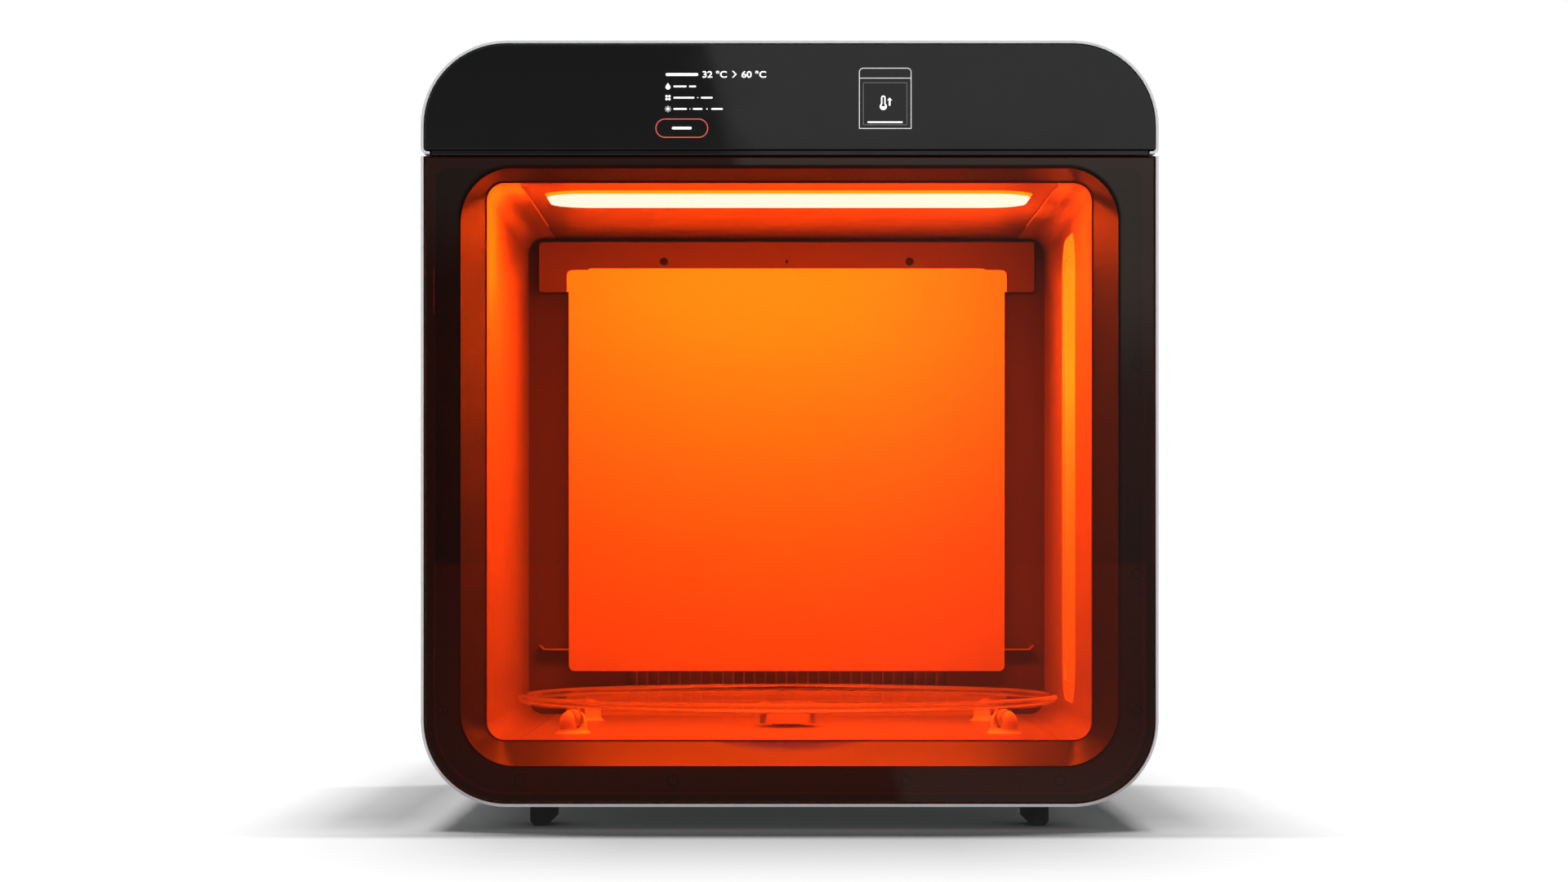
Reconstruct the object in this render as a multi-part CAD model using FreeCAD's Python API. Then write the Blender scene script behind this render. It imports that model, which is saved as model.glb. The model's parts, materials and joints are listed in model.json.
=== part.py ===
import FreeCAD, Part
import math
import os

from FreeCAD import Vector

# Post-cure station: a heated light chamber behind a hinged amber glass door, under a glass console.
# Millimetres, +Z up, the door faces -Y, origin on the floor under the middle of the overall box.

# ------------------------------------------------------------------ driving dimensions
WIDTH = 570.0
DEPTH = 580.0
HEIGHT = 610.0
FOOT_HEIGHT = 18.0
CORNER_RADIUS = 66.0          # outer corners of the casing, seen from the front
SHEET = 2.2                   # casing and door rim sheet
OVER = 1.0                    # how far a cutting tool runs past the face it cuts

HALF_WIDTH = WIDTH / 2
FRONT = -DEPTH / 2
BACK = DEPTH / 2

# Depth-wise stack, from the door glass to the rear cover
DOOR_THICKNESS = 25.0
DOOR_BACK = FRONT + DOOR_THICKNESS
FASCIA_GAP = 5.0              # filled by the door gasket
FASCIA_FRONT = DOOR_BACK + FASCIA_GAP
FASCIA_THICKNESS = 2.0
SHELL_FRONT = FASCIA_FRONT - 2.0
PROUD = 2.0                   # screw heads, fan guard and inlet flange stand out of the rear cover
COVER_THICKNESS = 4.0
COVER_BACK = BACK - PROUD
COVER_FRONT = COVER_BACK - COVER_THICKNESS

# Height-wise split between door and console
DOOR_TOP = 520.8
HEAD_BOTTOM = 522.2
CONSOLE_BOTTOM = 525.4
HOOK_RADIUS = 5.0             # rolled lower edge of the upper shell
HOOK_REACH = 7.0
FLANGE_REACH = 15.0           # folded top edge of the lower shell

# Chamber, inner faces
CHAMBER_HALF = 238.3
CHAMBER_FLOOR = 66.9
CHAMBER_CEILING = 505.7
CHAMBER_FRONT = -232.0
CHAMBER_BACK = 246.0
LINER = 1.5
COVE_RADIUS = 14.0
SEAM = 213.0                  # where the coved side liners meet the flat ceiling and floor
SEAM_GAP = 0.4

# Opening funnel between fascia and chamber, inner faces
MOUTH_HALF = 256.6
MOUTH_LOW = 47.9
MOUTH_HIGH = 514.8
MOUTH_RADIUS = 42.2
FUNNEL_WALL = 2.0
LIP = 1.0                     # how much of the liner's front edge shows inside the funnel

# Door
GLASS_THICKNESS = 5.0
GLASS_BEVEL = 1.6
GLASS_GAP = 0.5               # dark line between rim and glass
FRAME_WIDTH = 7.2
FRAME_GAP = 0.3
FRAME_WEB = 1.2               # what the hinge cuts leave of the frame behind the glass
GASKET_INSET = 6.0            # keeps the seal on the opening side of the hinge axis
GASKET_WIDTH = 3.5
HINGE_X = -279.0
HINGE_Y = -277.0
HINGE_HEIGHTS = (122.0, 418.0)
PIN_RADIUS = 2.2
PIN_CLEARANCE = 0.05
KNUCKLE_RADIUS = 3.6
ARM_HALF_WIDTH = 2.0
ARM_HALF_HEIGHT = 4.0
ARM_CLEARANCE = 0.3
BLOCK_HEIGHT = 14.0
LATCH_HEIGHTS = (150.0, 430.0)
GRIP_LOW = 245.0              # finger gap behind the right edge of the door
GRIP_HIGH = 335.0
GRIP_DEPTH = 7.0

# Lamps
LAMP_LENGTH = 396.0
LAMP_WIDTH = 130.0
LAMP_CORNER = 34.0
LENS_THICKNESS = 3.0
LENS_BORDER = 18.0            # flat margin around the lens's shallow panel
LENS_RECESS = 1.2
LENS_GAP = 0.2
LAMP_WALL = 6.0
LAMP_DEPTH = 20.0
FIN_HEIGHT = 13.0
CEILING_LAMP_Y = -113.0
SIDE_LAMP_Y = -17.0
SIDE_LAMP_Z = 286.0

# Rear wall fittings
REFLECTOR_FRONT = 232.0
REFLECTOR_SHEET = 2.0
REFLECTOR_HALF = 202.5
REFLECTOR_LOW = 107.0
REFLECTOR_HIGH = 476.0
LOWER_REFLECTOR_HIGH = 91.0
BRACKET_HALF = 228.0
BRACKET_LOW = 456.0
BRACKET_HIGH = 502.0

# Turntable
TABLE_Y = 0.0
TABLE_RADIUS = 230.0
TABLE_LOW = 87.0
TABLE_THICKNESS = 5.0
BEAD_RADIUS = 3.4
SHAFT_RADIUS = 5.0
HUB_RADIUS = 24.5
ROLLER_CIRCLE = 212.0
ROLLER_ANGLE = 33.5           # of the front right roller, below the X axis
ROLLER_RADIUS = 8.0
ROLLER_TREAD = 3.7
ROLLER_GAP = 0.3
ROLLER_ANGLES = (-ROLLER_ANGLE, ROLLER_ANGLE, 180.0 - ROLLER_ANGLE, 180.0 + ROLLER_ANGLE)

# Rear services
SERVICE_Z = 564.0
FAN_X = 190.0
INLET_X = -192.0
SWITCH_X = -152.0
CIRCULATION_Z = 290.0
ROCKER_TILT = 8.0


# ------------------------------------------------------------------ drawing helpers
def block(x, y, z):
    """Box between the low and high value of each axis."""
    return Part.makeBox(x[1] - x[0], y[1] - y[0], z[1] - z[0], Vector(x[0], y[0], z[0]))


def rod(start, direction, length, radius):
    """Cylinder that starts at a point and runs along a direction."""
    return Part.makeCylinder(radius, length, Vector(*start), Vector(*direction))


def corner_arc(before, corner, after, radius):
    """Start, middle and end point of the arc that rounds one corner."""
    to_before = (before - corner).normalize()
    to_after = (after - corner).normalize()
    half_angle = to_before.getAngle(to_after) / 2
    reach = radius / math.tan(half_angle)
    bisector = (to_before + to_after).normalize()
    middle = corner + bisector * (radius / math.sin(half_angle) - radius)
    return corner + to_before * reach, middle, corner + to_after * reach


def rounded_wire(points, radii):
    """Closed wire through the points, each corner rounded by its own radius, 0 for a sharp one."""
    count = len(points)
    arcs = []
    for index, corner in enumerate(points):
        if radii[index] > 0:
            arcs.append(corner_arc(points[index - 1], corner, points[(index + 1) % count], radii[index]))
        else:
            arcs.append((corner, None, corner))
    edges = []
    for index, (start, middle, end) in enumerate(arcs):
        if middle is not None:
            edges.append(Part.Arc(start, middle, end).toShape())
        following = arcs[(index + 1) % count][0]
        if end.distanceToPoint(following) > 1e-6:
            edges.append(Part.LineSegment(end, following).toShape())
    return Part.Wire(edges)


def front_wire(half, low, high, low_radius, high_radius, y):
    """Rounded rectangle seen from the front, at one depth."""
    points = [Vector(-half, y, low), Vector(half, y, low), Vector(half, y, high), Vector(-half, y, high)]
    return rounded_wire(points, [low_radius, low_radius, high_radius, high_radius])


def front_slab(half, low, high, low_radius, high_radius, y):
    """Rounded rectangle seen from the front, extruded between two depths."""
    wire = front_wire(half, low, high, low_radius, high_radius, y[0])
    return Part.Face(wire).extrude(Vector(0, y[1] - y[0], 0))


def profile_slab(points, radii, y):
    """Outline of (x, z) points extruded between two depths."""
    wire = rounded_wire([Vector(x, y[0], z) for x, z in points], radii)
    return Part.Face(wire).extrude(Vector(0, y[1] - y[0], 0))


def lamp_plate(grow, z):
    """Plate of the lamp's outline grown by a margin, long side along X, between two heights."""
    reach = LAMP_LENGTH / 2 + grow
    side = LAMP_WIDTH / 2 + grow
    points = [Vector(-reach, -side, z[0]), Vector(reach, -side, z[0])]
    points += [Vector(reach, side, z[0]), Vector(-reach, side, z[0])]
    return Part.Face(rounded_wire(points, [LAMP_CORNER + grow] * 4)).extrude(Vector(0, 0, z[1] - z[0]))


def fused(first, *others):
    """Union with its seams removed."""
    return first.multiFuse(list(others)).removeSplitter()


def screw(x, z, face, outward, head_radius, head_height, length):
    """Pan head screw with a hex socket; outward is -1 towards the front or +1 towards the back."""
    head = rod((x, face, z), (0, outward, 0), head_height, head_radius)
    crown = [edge for edge in head.Edges if abs(edge.BoundBox.YLength) < 1e-6
             and abs(edge.BoundBox.YMin - face - outward * head_height) < 1e-6]
    head = head.makeChamfer(head_height * 0.35, crown)
    shank = rod((x, face, z), (0, -outward, 0), length, head_radius * 0.48)
    socket_radius = head_radius * 0.45
    corners = []
    for step in range(6):
        angle = math.radians(60 * step)
        corners.append((x + socket_radius * math.cos(angle), z + socket_radius * math.sin(angle)))
    mouth = face + outward * (head_height + OVER)
    seat = face + outward * head_height * 0.35
    socket = profile_slab(corners, [0] * 6, (min(mouth, seat), max(mouth, seat)))
    return head.fuse(shank).cut(socket)


def screw_hole(x, z, y, head_radius):
    """Clearance hole for the shank of a screw."""
    return rod((x, y[0] - OVER, z), (0, 1, 0), y[1] - y[0] + 2 * OVER, head_radius * 0.48 + 0.2)


# ------------------------------------------------------------------ casing
FASCIA_SCREW_HEAD = 3.3
FASCIA_SCREW_PLACES = ((-211.0, 36.4), (-91.0, 36.4), (91.0, 36.4), (211.0, 36.4),
                       (-271.0, 91.0), (271.0, 91.0), (271.0, 198.0), (271.0, 361.0))
COVER_SCREW_HEAD = 3.6
COVER_SCREW_PLACES = ((-268.0, 100.0), (-268.0, 300.0), (-268.0, 500.0), (268.0, 100.0), (268.0, 300.0),
                      (268.0, 500.0), (-150.0, 33.0), (150.0, 33.0), (-90.0, 596.0), (90.0, 596.0))


def upper_shell():
    """Inverted U of sheet around the console, its lower edges rolled inwards."""
    y = (FRONT, COVER_FRONT)
    past = (FRONT - OVER, COVER_FRONT + OVER)
    shell = front_slab(HALF_WIDTH, HEAD_BOTTOM, HEIGHT, HOOK_RADIUS, CORNER_RADIUS, y)
    hollow = front_slab(HALF_WIDTH - SHEET, HEAD_BOTTOM + SHEET, HEIGHT - SHEET,
                        HOOK_RADIUS - SHEET, CORNER_RADIUS - SHEET, past)
    inner = HALF_WIDTH - HOOK_REACH
    mouth = block((-inner, inner), past, (HEAD_BOTTOM - OVER, HEAD_BOTTOM + SHEET + OVER))
    return shell.cut(hollow).cut(mouth)


def lower_shell():
    """U of sheet around the chamber, its top edges folded inwards, with air slots in its floor."""
    y = (SHELL_FRONT, COVER_FRONT)
    past = (SHELL_FRONT - OVER, COVER_FRONT + OVER)
    shell = front_slab(HALF_WIDTH, FOOT_HEIGHT, DOOR_TOP, CORNER_RADIUS, 0, y)
    hollow = front_slab(HALF_WIDTH - SHEET, FOOT_HEIGHT + SHEET, DOOR_TOP - SHEET,
                        CORNER_RADIUS - SHEET, 0, past)
    inner = HALF_WIDTH - FLANGE_REACH
    mouth = block((-inner, inner), past, (DOOR_TOP - SHEET - OVER, DOOR_TOP + OVER))
    shell = shell.cut(hollow).cut(mouth)
    slots = []
    for index in range(15):
        x = -84.0 + 12.0 * index
        slots.append(block((x - 2.0, x + 2.0), (215.0, 260.0), (FOOT_HEIGHT - OVER, FOOT_HEIGHT + SHEET + OVER)))
    return shell.cut(Part.makeCompound(slots))


def vent_row(x_range, z_range, pitch, width, y):
    """Row of upright round-ended slots."""
    slots = []
    count = int((x_range[1] - x_range[0]) / pitch) + 1
    for index in range(count):
        x = x_range[0] + pitch * index
        half = width / 2
        points = [(x - half, z_range[0]), (x + half, z_range[0]), (x + half, z_range[1]), (x - half, z_range[1])]
        slots.append(profile_slab(points, [half] * 4, y))
    return slots


def rear_cover():
    """Rear panel with vents, fan opening and inlet opening."""
    y = (COVER_FRONT, COVER_BACK)
    past = (COVER_FRONT - OVER, COVER_BACK + OVER)
    cover = front_slab(HALF_WIDTH, FOOT_HEIGHT, HEIGHT, CORNER_RADIUS, CORNER_RADIUS, y)
    rim = [edge for edge in cover.Edges if edge.BoundBox.YMin > COVER_BACK - 1e-3]
    cover = cover.makeChamfer(1.2, rim)
    tools = vent_row((-112.0, 128.0), (548.0, 580.0), 8.0, 3.2, past)
    tools += vent_row((-112.0, 112.0), (42.0, 66.0), 8.0, 3.2, past)
    tools.append(rod((FAN_X, past[0], SERVICE_Z), (0, 1, 0), past[1] - past[0], 28.0))
    tools.append(block((INLET_X - 19.5, SWITCH_X + 12.5), past, (SERVICE_Z - 14.5, SERVICE_Z + 14.5)))
    tools += [screw_hole(x, z, y, COVER_SCREW_HEAD) for x, z in COVER_SCREW_PLACES]
    return cover.cut(Part.makeCompound(tools))


def rear_screws():
    """Screws around the edge of the rear cover."""
    return [screw(x, z, COVER_BACK, 1, COVER_SCREW_HEAD, PROUD, 9.0) for x, z in COVER_SCREW_PLACES]


def feet():
    """Four rubber feet, bevelled towards the middle of the machine."""
    outline = [(181.0, FOOT_HEIGHT), (181.0, 9.3), (190.7, 0.0), (200.3, 0.0), (203.4, 4.0), (203.4, FOOT_HEIGHT)]
    radii = [0, 1.5, 1.5, 1.5, 1.5, 0]
    solids = []
    for side in (-1, 1):
        points = [(side * x, z) for x, z in outline]
        for y in ((-246.0, -206.0), (206.0, 246.0)):
            solids.append(profile_slab(points, radii, y))
    return solids


def base_tray():
    """Folded tray on the casing floor that carries the chamber floor and the drive."""
    bottom = FOOT_HEIGHT + SHEET
    top = CHAMBER_FLOOR - LINER
    plate = block((-200.0, 200.0), (-228.0, 242.0), (bottom, bottom + 2.0))
    left = block((-200.0, -198.0), (-228.0, 242.0), (bottom, top))
    right = block((198.0, 200.0), (-228.0, 242.0), (bottom, top))
    return fused(plate, left, right)


def top_deck():
    """Deck under the folded edges of the lower shell that carries the electronics."""
    top = DOOR_TOP - SHEET
    z = (top - 2.0, top)
    deck = block((-281.0, 281.0), (-250.0, 280.0), z)
    lamp = lamp_plate(LAMP_WALL + 3.0, (z[0] - OVER, z[1] + OVER))
    lamp.translate(Vector(0, CEILING_LAMP_Y, 0))
    cable_way = rod((0, 240.0, z[0] - OVER), (0, 0, 1), 2.0 + 2 * OVER, 14.0)
    return deck.cut(lamp).cut(cable_way)


# ------------------------------------------------------------------ console
DISPLAY_HALF = 111.5
DISPLAY_LOW = 531.5
DISPLAY_HIGH = 592.5
CONSOLE_GLASS = 4.0
CONSOLE_DEPTH = 22.0
CONSOLE_WALL = 3.0


def console_glass():
    """Black console glass with a bevelled lower edge."""
    half = HALF_WIDTH - SHEET - GLASS_GAP
    radius = CORNER_RADIUS - SHEET - GLASS_GAP
    glass = front_slab(half, CONSOLE_BOTTOM, HEIGHT - SHEET - GLASS_GAP, 2.0, radius, (FRONT, FRONT + CONSOLE_GLASS))
    lower = [edge for edge in glass.Edges
             if edge.BoundBox.YMax < FRONT + 1e-3 and edge.BoundBox.ZMax < CONSOLE_BOTTOM + 1e-3]
    return glass.makeChamfer(1.2, lower)


def console_frame():
    """Moulded tray behind the console glass, with the display window."""
    half = HALF_WIDTH - SHEET - GLASS_GAP
    radius = CORNER_RADIUS - SHEET - GLASS_GAP
    front = FRONT + CONSOLE_GLASS
    wall = CONSOLE_WALL
    high = HEIGHT - SHEET - GLASS_GAP
    tray = front_slab(half, CONSOLE_BOTTOM, high, 2.0, radius, (front, front + CONSOLE_DEPTH))
    hollow = front_slab(half - wall, CONSOLE_BOTTOM + wall, high - wall, 1.0, radius - wall,
                        (front + wall, front + CONSOLE_DEPTH + OVER))
    window = block((-DISPLAY_HALF - 0.2, DISPLAY_HALF + 0.2), (front - OVER, front + wall + OVER),
                   (DISPLAY_LOW - 0.2, DISPLAY_HIGH + 0.2))
    return tray.cut(hollow).cut(window)


def touch_display():
    """Wide bar display behind the console glass, with its driver board."""
    front = FRONT + CONSOLE_GLASS
    panel = block((-DISPLAY_HALF, DISPLAY_HALF), (front, front + 4.5), (DISPLAY_LOW, DISPLAY_HIGH))
    board = block((-70.0, 70.0), (front + 4.5, front + 7.5), (DISPLAY_LOW + 8.0, DISPLAY_HIGH - 8.0))
    socket = block((-12.0, 12.0), (front + 7.5, front + 12.0), (DISPLAY_LOW + 24.0, DISPLAY_LOW + 32.0))
    return fused(panel, board, socket)


# ------------------------------------------------------------------ front fascia and funnel
def front_fascia():
    """Dark panel behind the door, around the chamber mouth."""
    y = (FASCIA_FRONT, FASCIA_FRONT + FASCIA_THICKNESS)
    past = (y[0] - OVER, y[1] + OVER)
    half = HALF_WIDTH - SHEET - 0.2
    low = FOOT_HEIGHT + SHEET + 0.2
    shoulder = DOOR_TOP - SHEET - 0.2
    neck = HALF_WIDTH - FLANGE_REACH - 0.2
    top = HEAD_BOTTOM + 18.0
    points = [(-half, low), (half, low), (half, shoulder), (neck, shoulder), (neck, top), (-neck, top),
              (-neck, shoulder), (-half, shoulder)]
    radius = CORNER_RADIUS - SHEET - 0.2
    fascia = profile_slab(points, [radius, radius, 0, 0, 0, 0, 0, 0], y)
    mouth = front_slab(MOUTH_HALF + FUNNEL_WALL, MOUTH_LOW - FUNNEL_WALL, MOUTH_HIGH + FUNNEL_WALL,
                       MOUTH_RADIUS + FUNNEL_WALL, MOUTH_RADIUS + FUNNEL_WALL, past)
    holes = [screw_hole(x, z, y, FASCIA_SCREW_HEAD) for x, z in FASCIA_SCREW_PLACES]
    return fascia.cut(mouth).cut(Part.makeCompound(holes))


def fascia_screws():
    """Screws that hold the fascia."""
    return [screw(x, z, FASCIA_FRONT, -1, FASCIA_SCREW_HEAD, 1.6, 7.0) for x, z in FASCIA_SCREW_PLACES]


def funnel_core(wall, y):
    """Solid with the funnel's inner faces, grown by a wall, between two depths."""
    mouth = front_wire(MOUTH_HALF + wall, MOUTH_LOW - wall, MOUTH_HIGH + wall,
                       MOUTH_RADIUS + wall, MOUTH_RADIUS + wall, y[0])
    wall += LIP
    throat = front_wire(CHAMBER_HALF + wall, CHAMBER_FLOOR - wall, CHAMBER_CEILING + wall,
                        COVE_RADIUS + wall, COVE_RADIUS + wall, y[1])
    return Part.makeLoft([mouth, throat], True, True)


def opening_funnel():
    """Bevelled ring from the fascia to the chamber."""
    y = (FASCIA_FRONT, CHAMBER_FRONT)
    return funnel_core(FUNNEL_WALL, y).cut(funnel_core(0.0, y))


# ------------------------------------------------------------------ chamber
def chamber_tube():
    """The whole liner as one coved tube, before it is divided at its seams."""
    y = (CHAMBER_FRONT, CHAMBER_BACK)
    outer = front_slab(CHAMBER_HALF + LINER, CHAMBER_FLOOR - LINER, CHAMBER_CEILING + LINER,
                       COVE_RADIUS + LINER, COVE_RADIUS + LINER, y)
    inner = front_slab(CHAMBER_HALF, CHAMBER_FLOOR, CHAMBER_CEILING, COVE_RADIUS, COVE_RADIUS,
                       (y[0] - OVER, y[1] + OVER))
    return outer.cut(inner)


def chamber_part(x, z):
    """Stretch of the liner tube between two x values and two heights."""
    return chamber_tube().common(block(x, (CHAMBER_FRONT, CHAMBER_BACK), z))


def chamber_left_liner():
    """Left wall with its two coves."""
    edge = SEAM + SEAM_GAP / 2
    return chamber_part((-CHAMBER_HALF - LINER, -edge), (0.0, HEIGHT))


def chamber_right_liner():
    """Right wall with its two coves and the opening for its lamp."""
    edge = SEAM + SEAM_GAP / 2
    wall = chamber_part((edge, CHAMBER_HALF + LINER), (0.0, HEIGHT))
    return wall.cut(on_side_wall(lamp_plate(LENS_GAP, (-OVER, LINER + OVER))))


def chamber_ceiling():
    """Flat ceiling panel with the opening for its lamp."""
    edge = SEAM - SEAM_GAP / 2
    panel = chamber_part((-edge, edge), (HEIGHT / 2, HEIGHT))
    return panel.cut(on_ceiling(lamp_plate(LENS_GAP, (-OVER, LINER + OVER))))


def chamber_floor():
    """Flat floor panel with the hole for the drive shaft bearing."""
    edge = SEAM - SEAM_GAP / 2
    panel = chamber_part((-edge, edge), (0.0, HEIGHT / 2))
    return panel.cut(rod((0, TABLE_Y, CHAMBER_FLOOR - LINER - OVER), (0, 0, 1), LINER + 2 * OVER, BUSH_RADIUS + 0.1))


def chamber_rear_wall():
    """Rear wall with the fan opening and the warm air slot."""
    y = (CHAMBER_BACK, CHAMBER_BACK + LINER)
    past = (y[0] - OVER, y[1] + OVER)
    wall = front_slab(CHAMBER_HALF + LINER, CHAMBER_FLOOR - LINER, CHAMBER_CEILING + LINER,
                      COVE_RADIUS + LINER, COVE_RADIUS + LINER, y)
    intake = rod((0, past[0], CIRCULATION_Z), (0, 1, 0), past[1] - past[0], 56.0)
    outlet = block((-148.0, 148.0), past, (LOWER_REFLECTOR_HIGH + 1.0, REFLECTOR_LOW - 1.0))
    return wall.cut(intake).cut(outlet)


def rear_reflector():
    """Bright panel in front of the circulation fan, a little wider beside its bracket."""
    y = (REFLECTOR_FRONT, REFLECTOR_FRONT + REFLECTOR_SHEET)
    narrow = REFLECTOR_HALF - 2.0
    half = REFLECTOR_HALF
    points = [(-narrow, REFLECTOR_LOW), (narrow, REFLECTOR_LOW), (narrow, BRACKET_LOW), (half, BRACKET_LOW),
              (half, REFLECTOR_HIGH), (-half, REFLECTOR_HIGH), (-half, BRACKET_LOW), (-narrow, BRACKET_LOW)]
    panel = profile_slab(points, [5.0, 5.0, 0, 0, 5.0, 5.0, 0, 0], y)
    lip = block((-182.0, 182.0), (y[0] + 0.5, y[1] - 0.5), (REFLECTOR_HIGH - OVER, REFLECTOR_HIGH + 1.5))
    return fused(panel, lip)


def lower_reflector():
    """Low bright panel under the warm air slot."""
    y = (REFLECTOR_FRONT, REFLECTOR_FRONT + REFLECTOR_SHEET)
    panel = front_slab(REFLECTOR_HALF, CHAMBER_FLOOR, LOWER_REFLECTOR_HIGH, 0, 5.0, y)
    foot = block((-190.0, 190.0), (y[1], CHAMBER_BACK), (CHAMBER_FLOOR, CHAMBER_FLOOR + 1.5))
    return fused(panel, foot)


def reflector_bracket():
    """Folded channel on the rear wall from which the reflector hangs."""
    y = (REFLECTOR_FRONT + REFLECTOR_SHEET, CHAMBER_BACK)
    channel = front_slab(BRACKET_HALF, BRACKET_LOW, BRACKET_HIGH, 3.0, 3.0, y)
    hollow = front_slab(BRACKET_HALF - 1.5, BRACKET_LOW + 1.5, BRACKET_HIGH - 1.5, 1.5, 1.5,
                        (y[0] + 1.5, y[1] + OVER))
    holes = [screw_hole(x, BRACKET_SCREW_Z, (y[0], y[0] + 1.5), BRACKET_SCREW_HEAD) for x in BRACKET_SCREW_X]
    pilot = rod((0, y[0] - OVER, BRACKET_SCREW_Z), (0, 1, 0), 1.5 + 2 * OVER, 1.4)
    return channel.cut(hollow).cut(Part.makeCompound(holes + [pilot]))


BRACKET_SCREW_X = (-113.0, 113.0)
BRACKET_SCREW_Z = 484.0
BRACKET_SCREW_HEAD = 3.6


def bracket_screws():
    """Screws that hold the reflector bracket."""
    face = REFLECTOR_FRONT + REFLECTOR_SHEET
    return [screw(x, BRACKET_SCREW_Z, face, -1, BRACKET_SCREW_HEAD, 1.8, 11.0) for x in BRACKET_SCREW_X]


def reflector_clips():
    """Two side clips with turned-up ends that steady the reflector's lower half."""
    behind = REFLECTOR_FRONT + REFLECTOR_SHEET
    z = 126.0
    solids = []
    for side in (-1, 1):
        outline = [(180.0, z), (224.0, z), (228.0, z + 4.0), (226.9, z + 5.1), (223.4, z + 1.5), (180.0, z + 1.5)]
        arm = profile_slab([(side * x, height) for x, height in outline], [0] * 6, (behind, CHAMBER_BACK))
        solids.append(arm)
    return solids


# ------------------------------------------------------------------ lamps, drawn with the wall face at z = 0
def on_ceiling(shape):
    """Moves a lamp piece from its own frame to the chamber ceiling."""
    placed = shape.copy()
    placed.translate(Vector(0, CEILING_LAMP_Y, CHAMBER_CEILING))
    return placed


def on_side_wall(shape):
    """Moves a lamp piece from its own frame to the right chamber wall."""
    placed = shape.copy()
    placed.rotate(Vector(0, 0, 0), Vector(1, 0, 1), 180)
    placed.translate(Vector(CHAMBER_HALF, SIDE_LAMP_Y, SIDE_LAMP_Z))
    return placed


def lamp_lens():
    """Frosted lens, flush with the chamber wall, with a shallow panel inside its border."""
    lens = lamp_plate(0.0, (0.0, LENS_THICKNESS))
    face = [edge for edge in lens.Edges if edge.BoundBox.ZMax < 1e-3]
    return lens.makeChamfer(0.8, face).cut(lamp_plate(-LENS_BORDER, (-OVER, LENS_RECESS)))


def lamp_housing():
    """Tray behind the lens with cooling fins on its back."""
    body = lamp_plate(LAMP_WALL, (LINER, LAMP_DEPTH))
    seat = lamp_plate(LENS_GAP, (LINER - OVER, LENS_THICKNESS))
    cavity = lamp_plate(-6.0, (LENS_THICKNESS - OVER, LAMP_DEPTH - 3.0))
    fins = []
    reach = LAMP_LENGTH / 2
    for index in range(11):
        y = -60.0 + 12.0 * index
        fins.append(block((-reach, reach), (y - 1.0, y + 1.0), (LAMP_DEPTH - OVER, LAMP_DEPTH + FIN_HEIGHT)))
    outline = lamp_plate(0.0, (LAMP_DEPTH - OVER, LAMP_DEPTH + FIN_HEIGHT))
    fins = [fin.common(outline) for fin in fins]
    return fused(body.cut(seat).cut(cavity), *fins)


def lamp_board():
    """Circuit board with two rows of light emitters."""
    back = LAMP_DEPTH - 3.0
    board = lamp_plate(-8.0, (back - 1.6, back))
    emitters = []
    for row in (-22.0, 22.0):
        for index in range(14):
            x = -156.0 + 24.0 * index
            emitters.append(block((x - 3.5, x + 3.5), (row - 3.5, row + 3.5), (back - 3.2, back - 1.6)))
    return fused(board, *emitters)


# ------------------------------------------------------------------ turntable and its drive
BUSH_RADIUS = 9.0
MOTOR_TOP = 44.0
MOTOR_HALF = 21.15


def turned(shape, angle):
    """Turns a piece about the turntable's axis and moves it there."""
    placed = shape.copy()
    placed.rotate(Vector(0, 0, 0), Vector(0, 0, 1), angle)
    placed.translate(Vector(0, TABLE_Y, 0))
    return placed


def turntable_bead():
    """Round glass bead along the rim of the turntable."""
    return Part.makeTorus(TABLE_RADIUS - BEAD_RADIUS, BEAD_RADIUS, Vector(0, TABLE_Y, TABLE_LOW + TABLE_THICKNESS))


def turntable_glass():
    """Glass plate with three drive lugs underneath, its rim hollowed to seat the bead."""
    plate = rod((0, TABLE_Y, TABLE_LOW), (0, 0, 1), TABLE_THICKNESS, TABLE_RADIUS - BEAD_RADIUS)
    lug = block((-3.5, 3.5), (26.5, 33.5), (TABLE_LOW - 5.0, TABLE_LOW + 1.0))
    lugs = [turned(lug, 120.0 * step + LUG_ANGLE) for step in range(3)]
    return fused(plate.cut(turntable_bead()), *lugs)


LUG_ANGLE = 19.5              # lugs sit just beside the hub's arms


def turntable_hub():
    """Three-armed hub on its drive shaft."""
    shaft = rod((0, TABLE_Y, 32.0), (0, 0, 1), 40.0, SHAFT_RADIUS)
    skirt = rod((0, TABLE_Y, 70.0), (0, 0, 1), TABLE_LOW - 70.0, HUB_RADIUS)
    arm = block((-5.0, 5.0), (0.0, 36.0), (79.0, TABLE_LOW))
    arms = [turned(arm, 120.0 * step) for step in range(3)]
    return fused(skirt, shaft, *arms)


def shaft_bearing():
    """Flanged bush in the chamber floor."""
    low = CHAMBER_FLOOR - 9.0
    tube = rod((0, TABLE_Y, low), (0, 0, 1), 9.0, BUSH_RADIUS)
    flange = rod((0, TABLE_Y, CHAMBER_FLOOR), (0, 0, 1), 1.5, 14.0)
    bore = rod((0, TABLE_Y, low - OVER), (0, 0, 1), 12.5, SHAFT_RADIUS + PIN_CLEARANCE)
    return fused(tube, flange).cut(bore)


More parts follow.
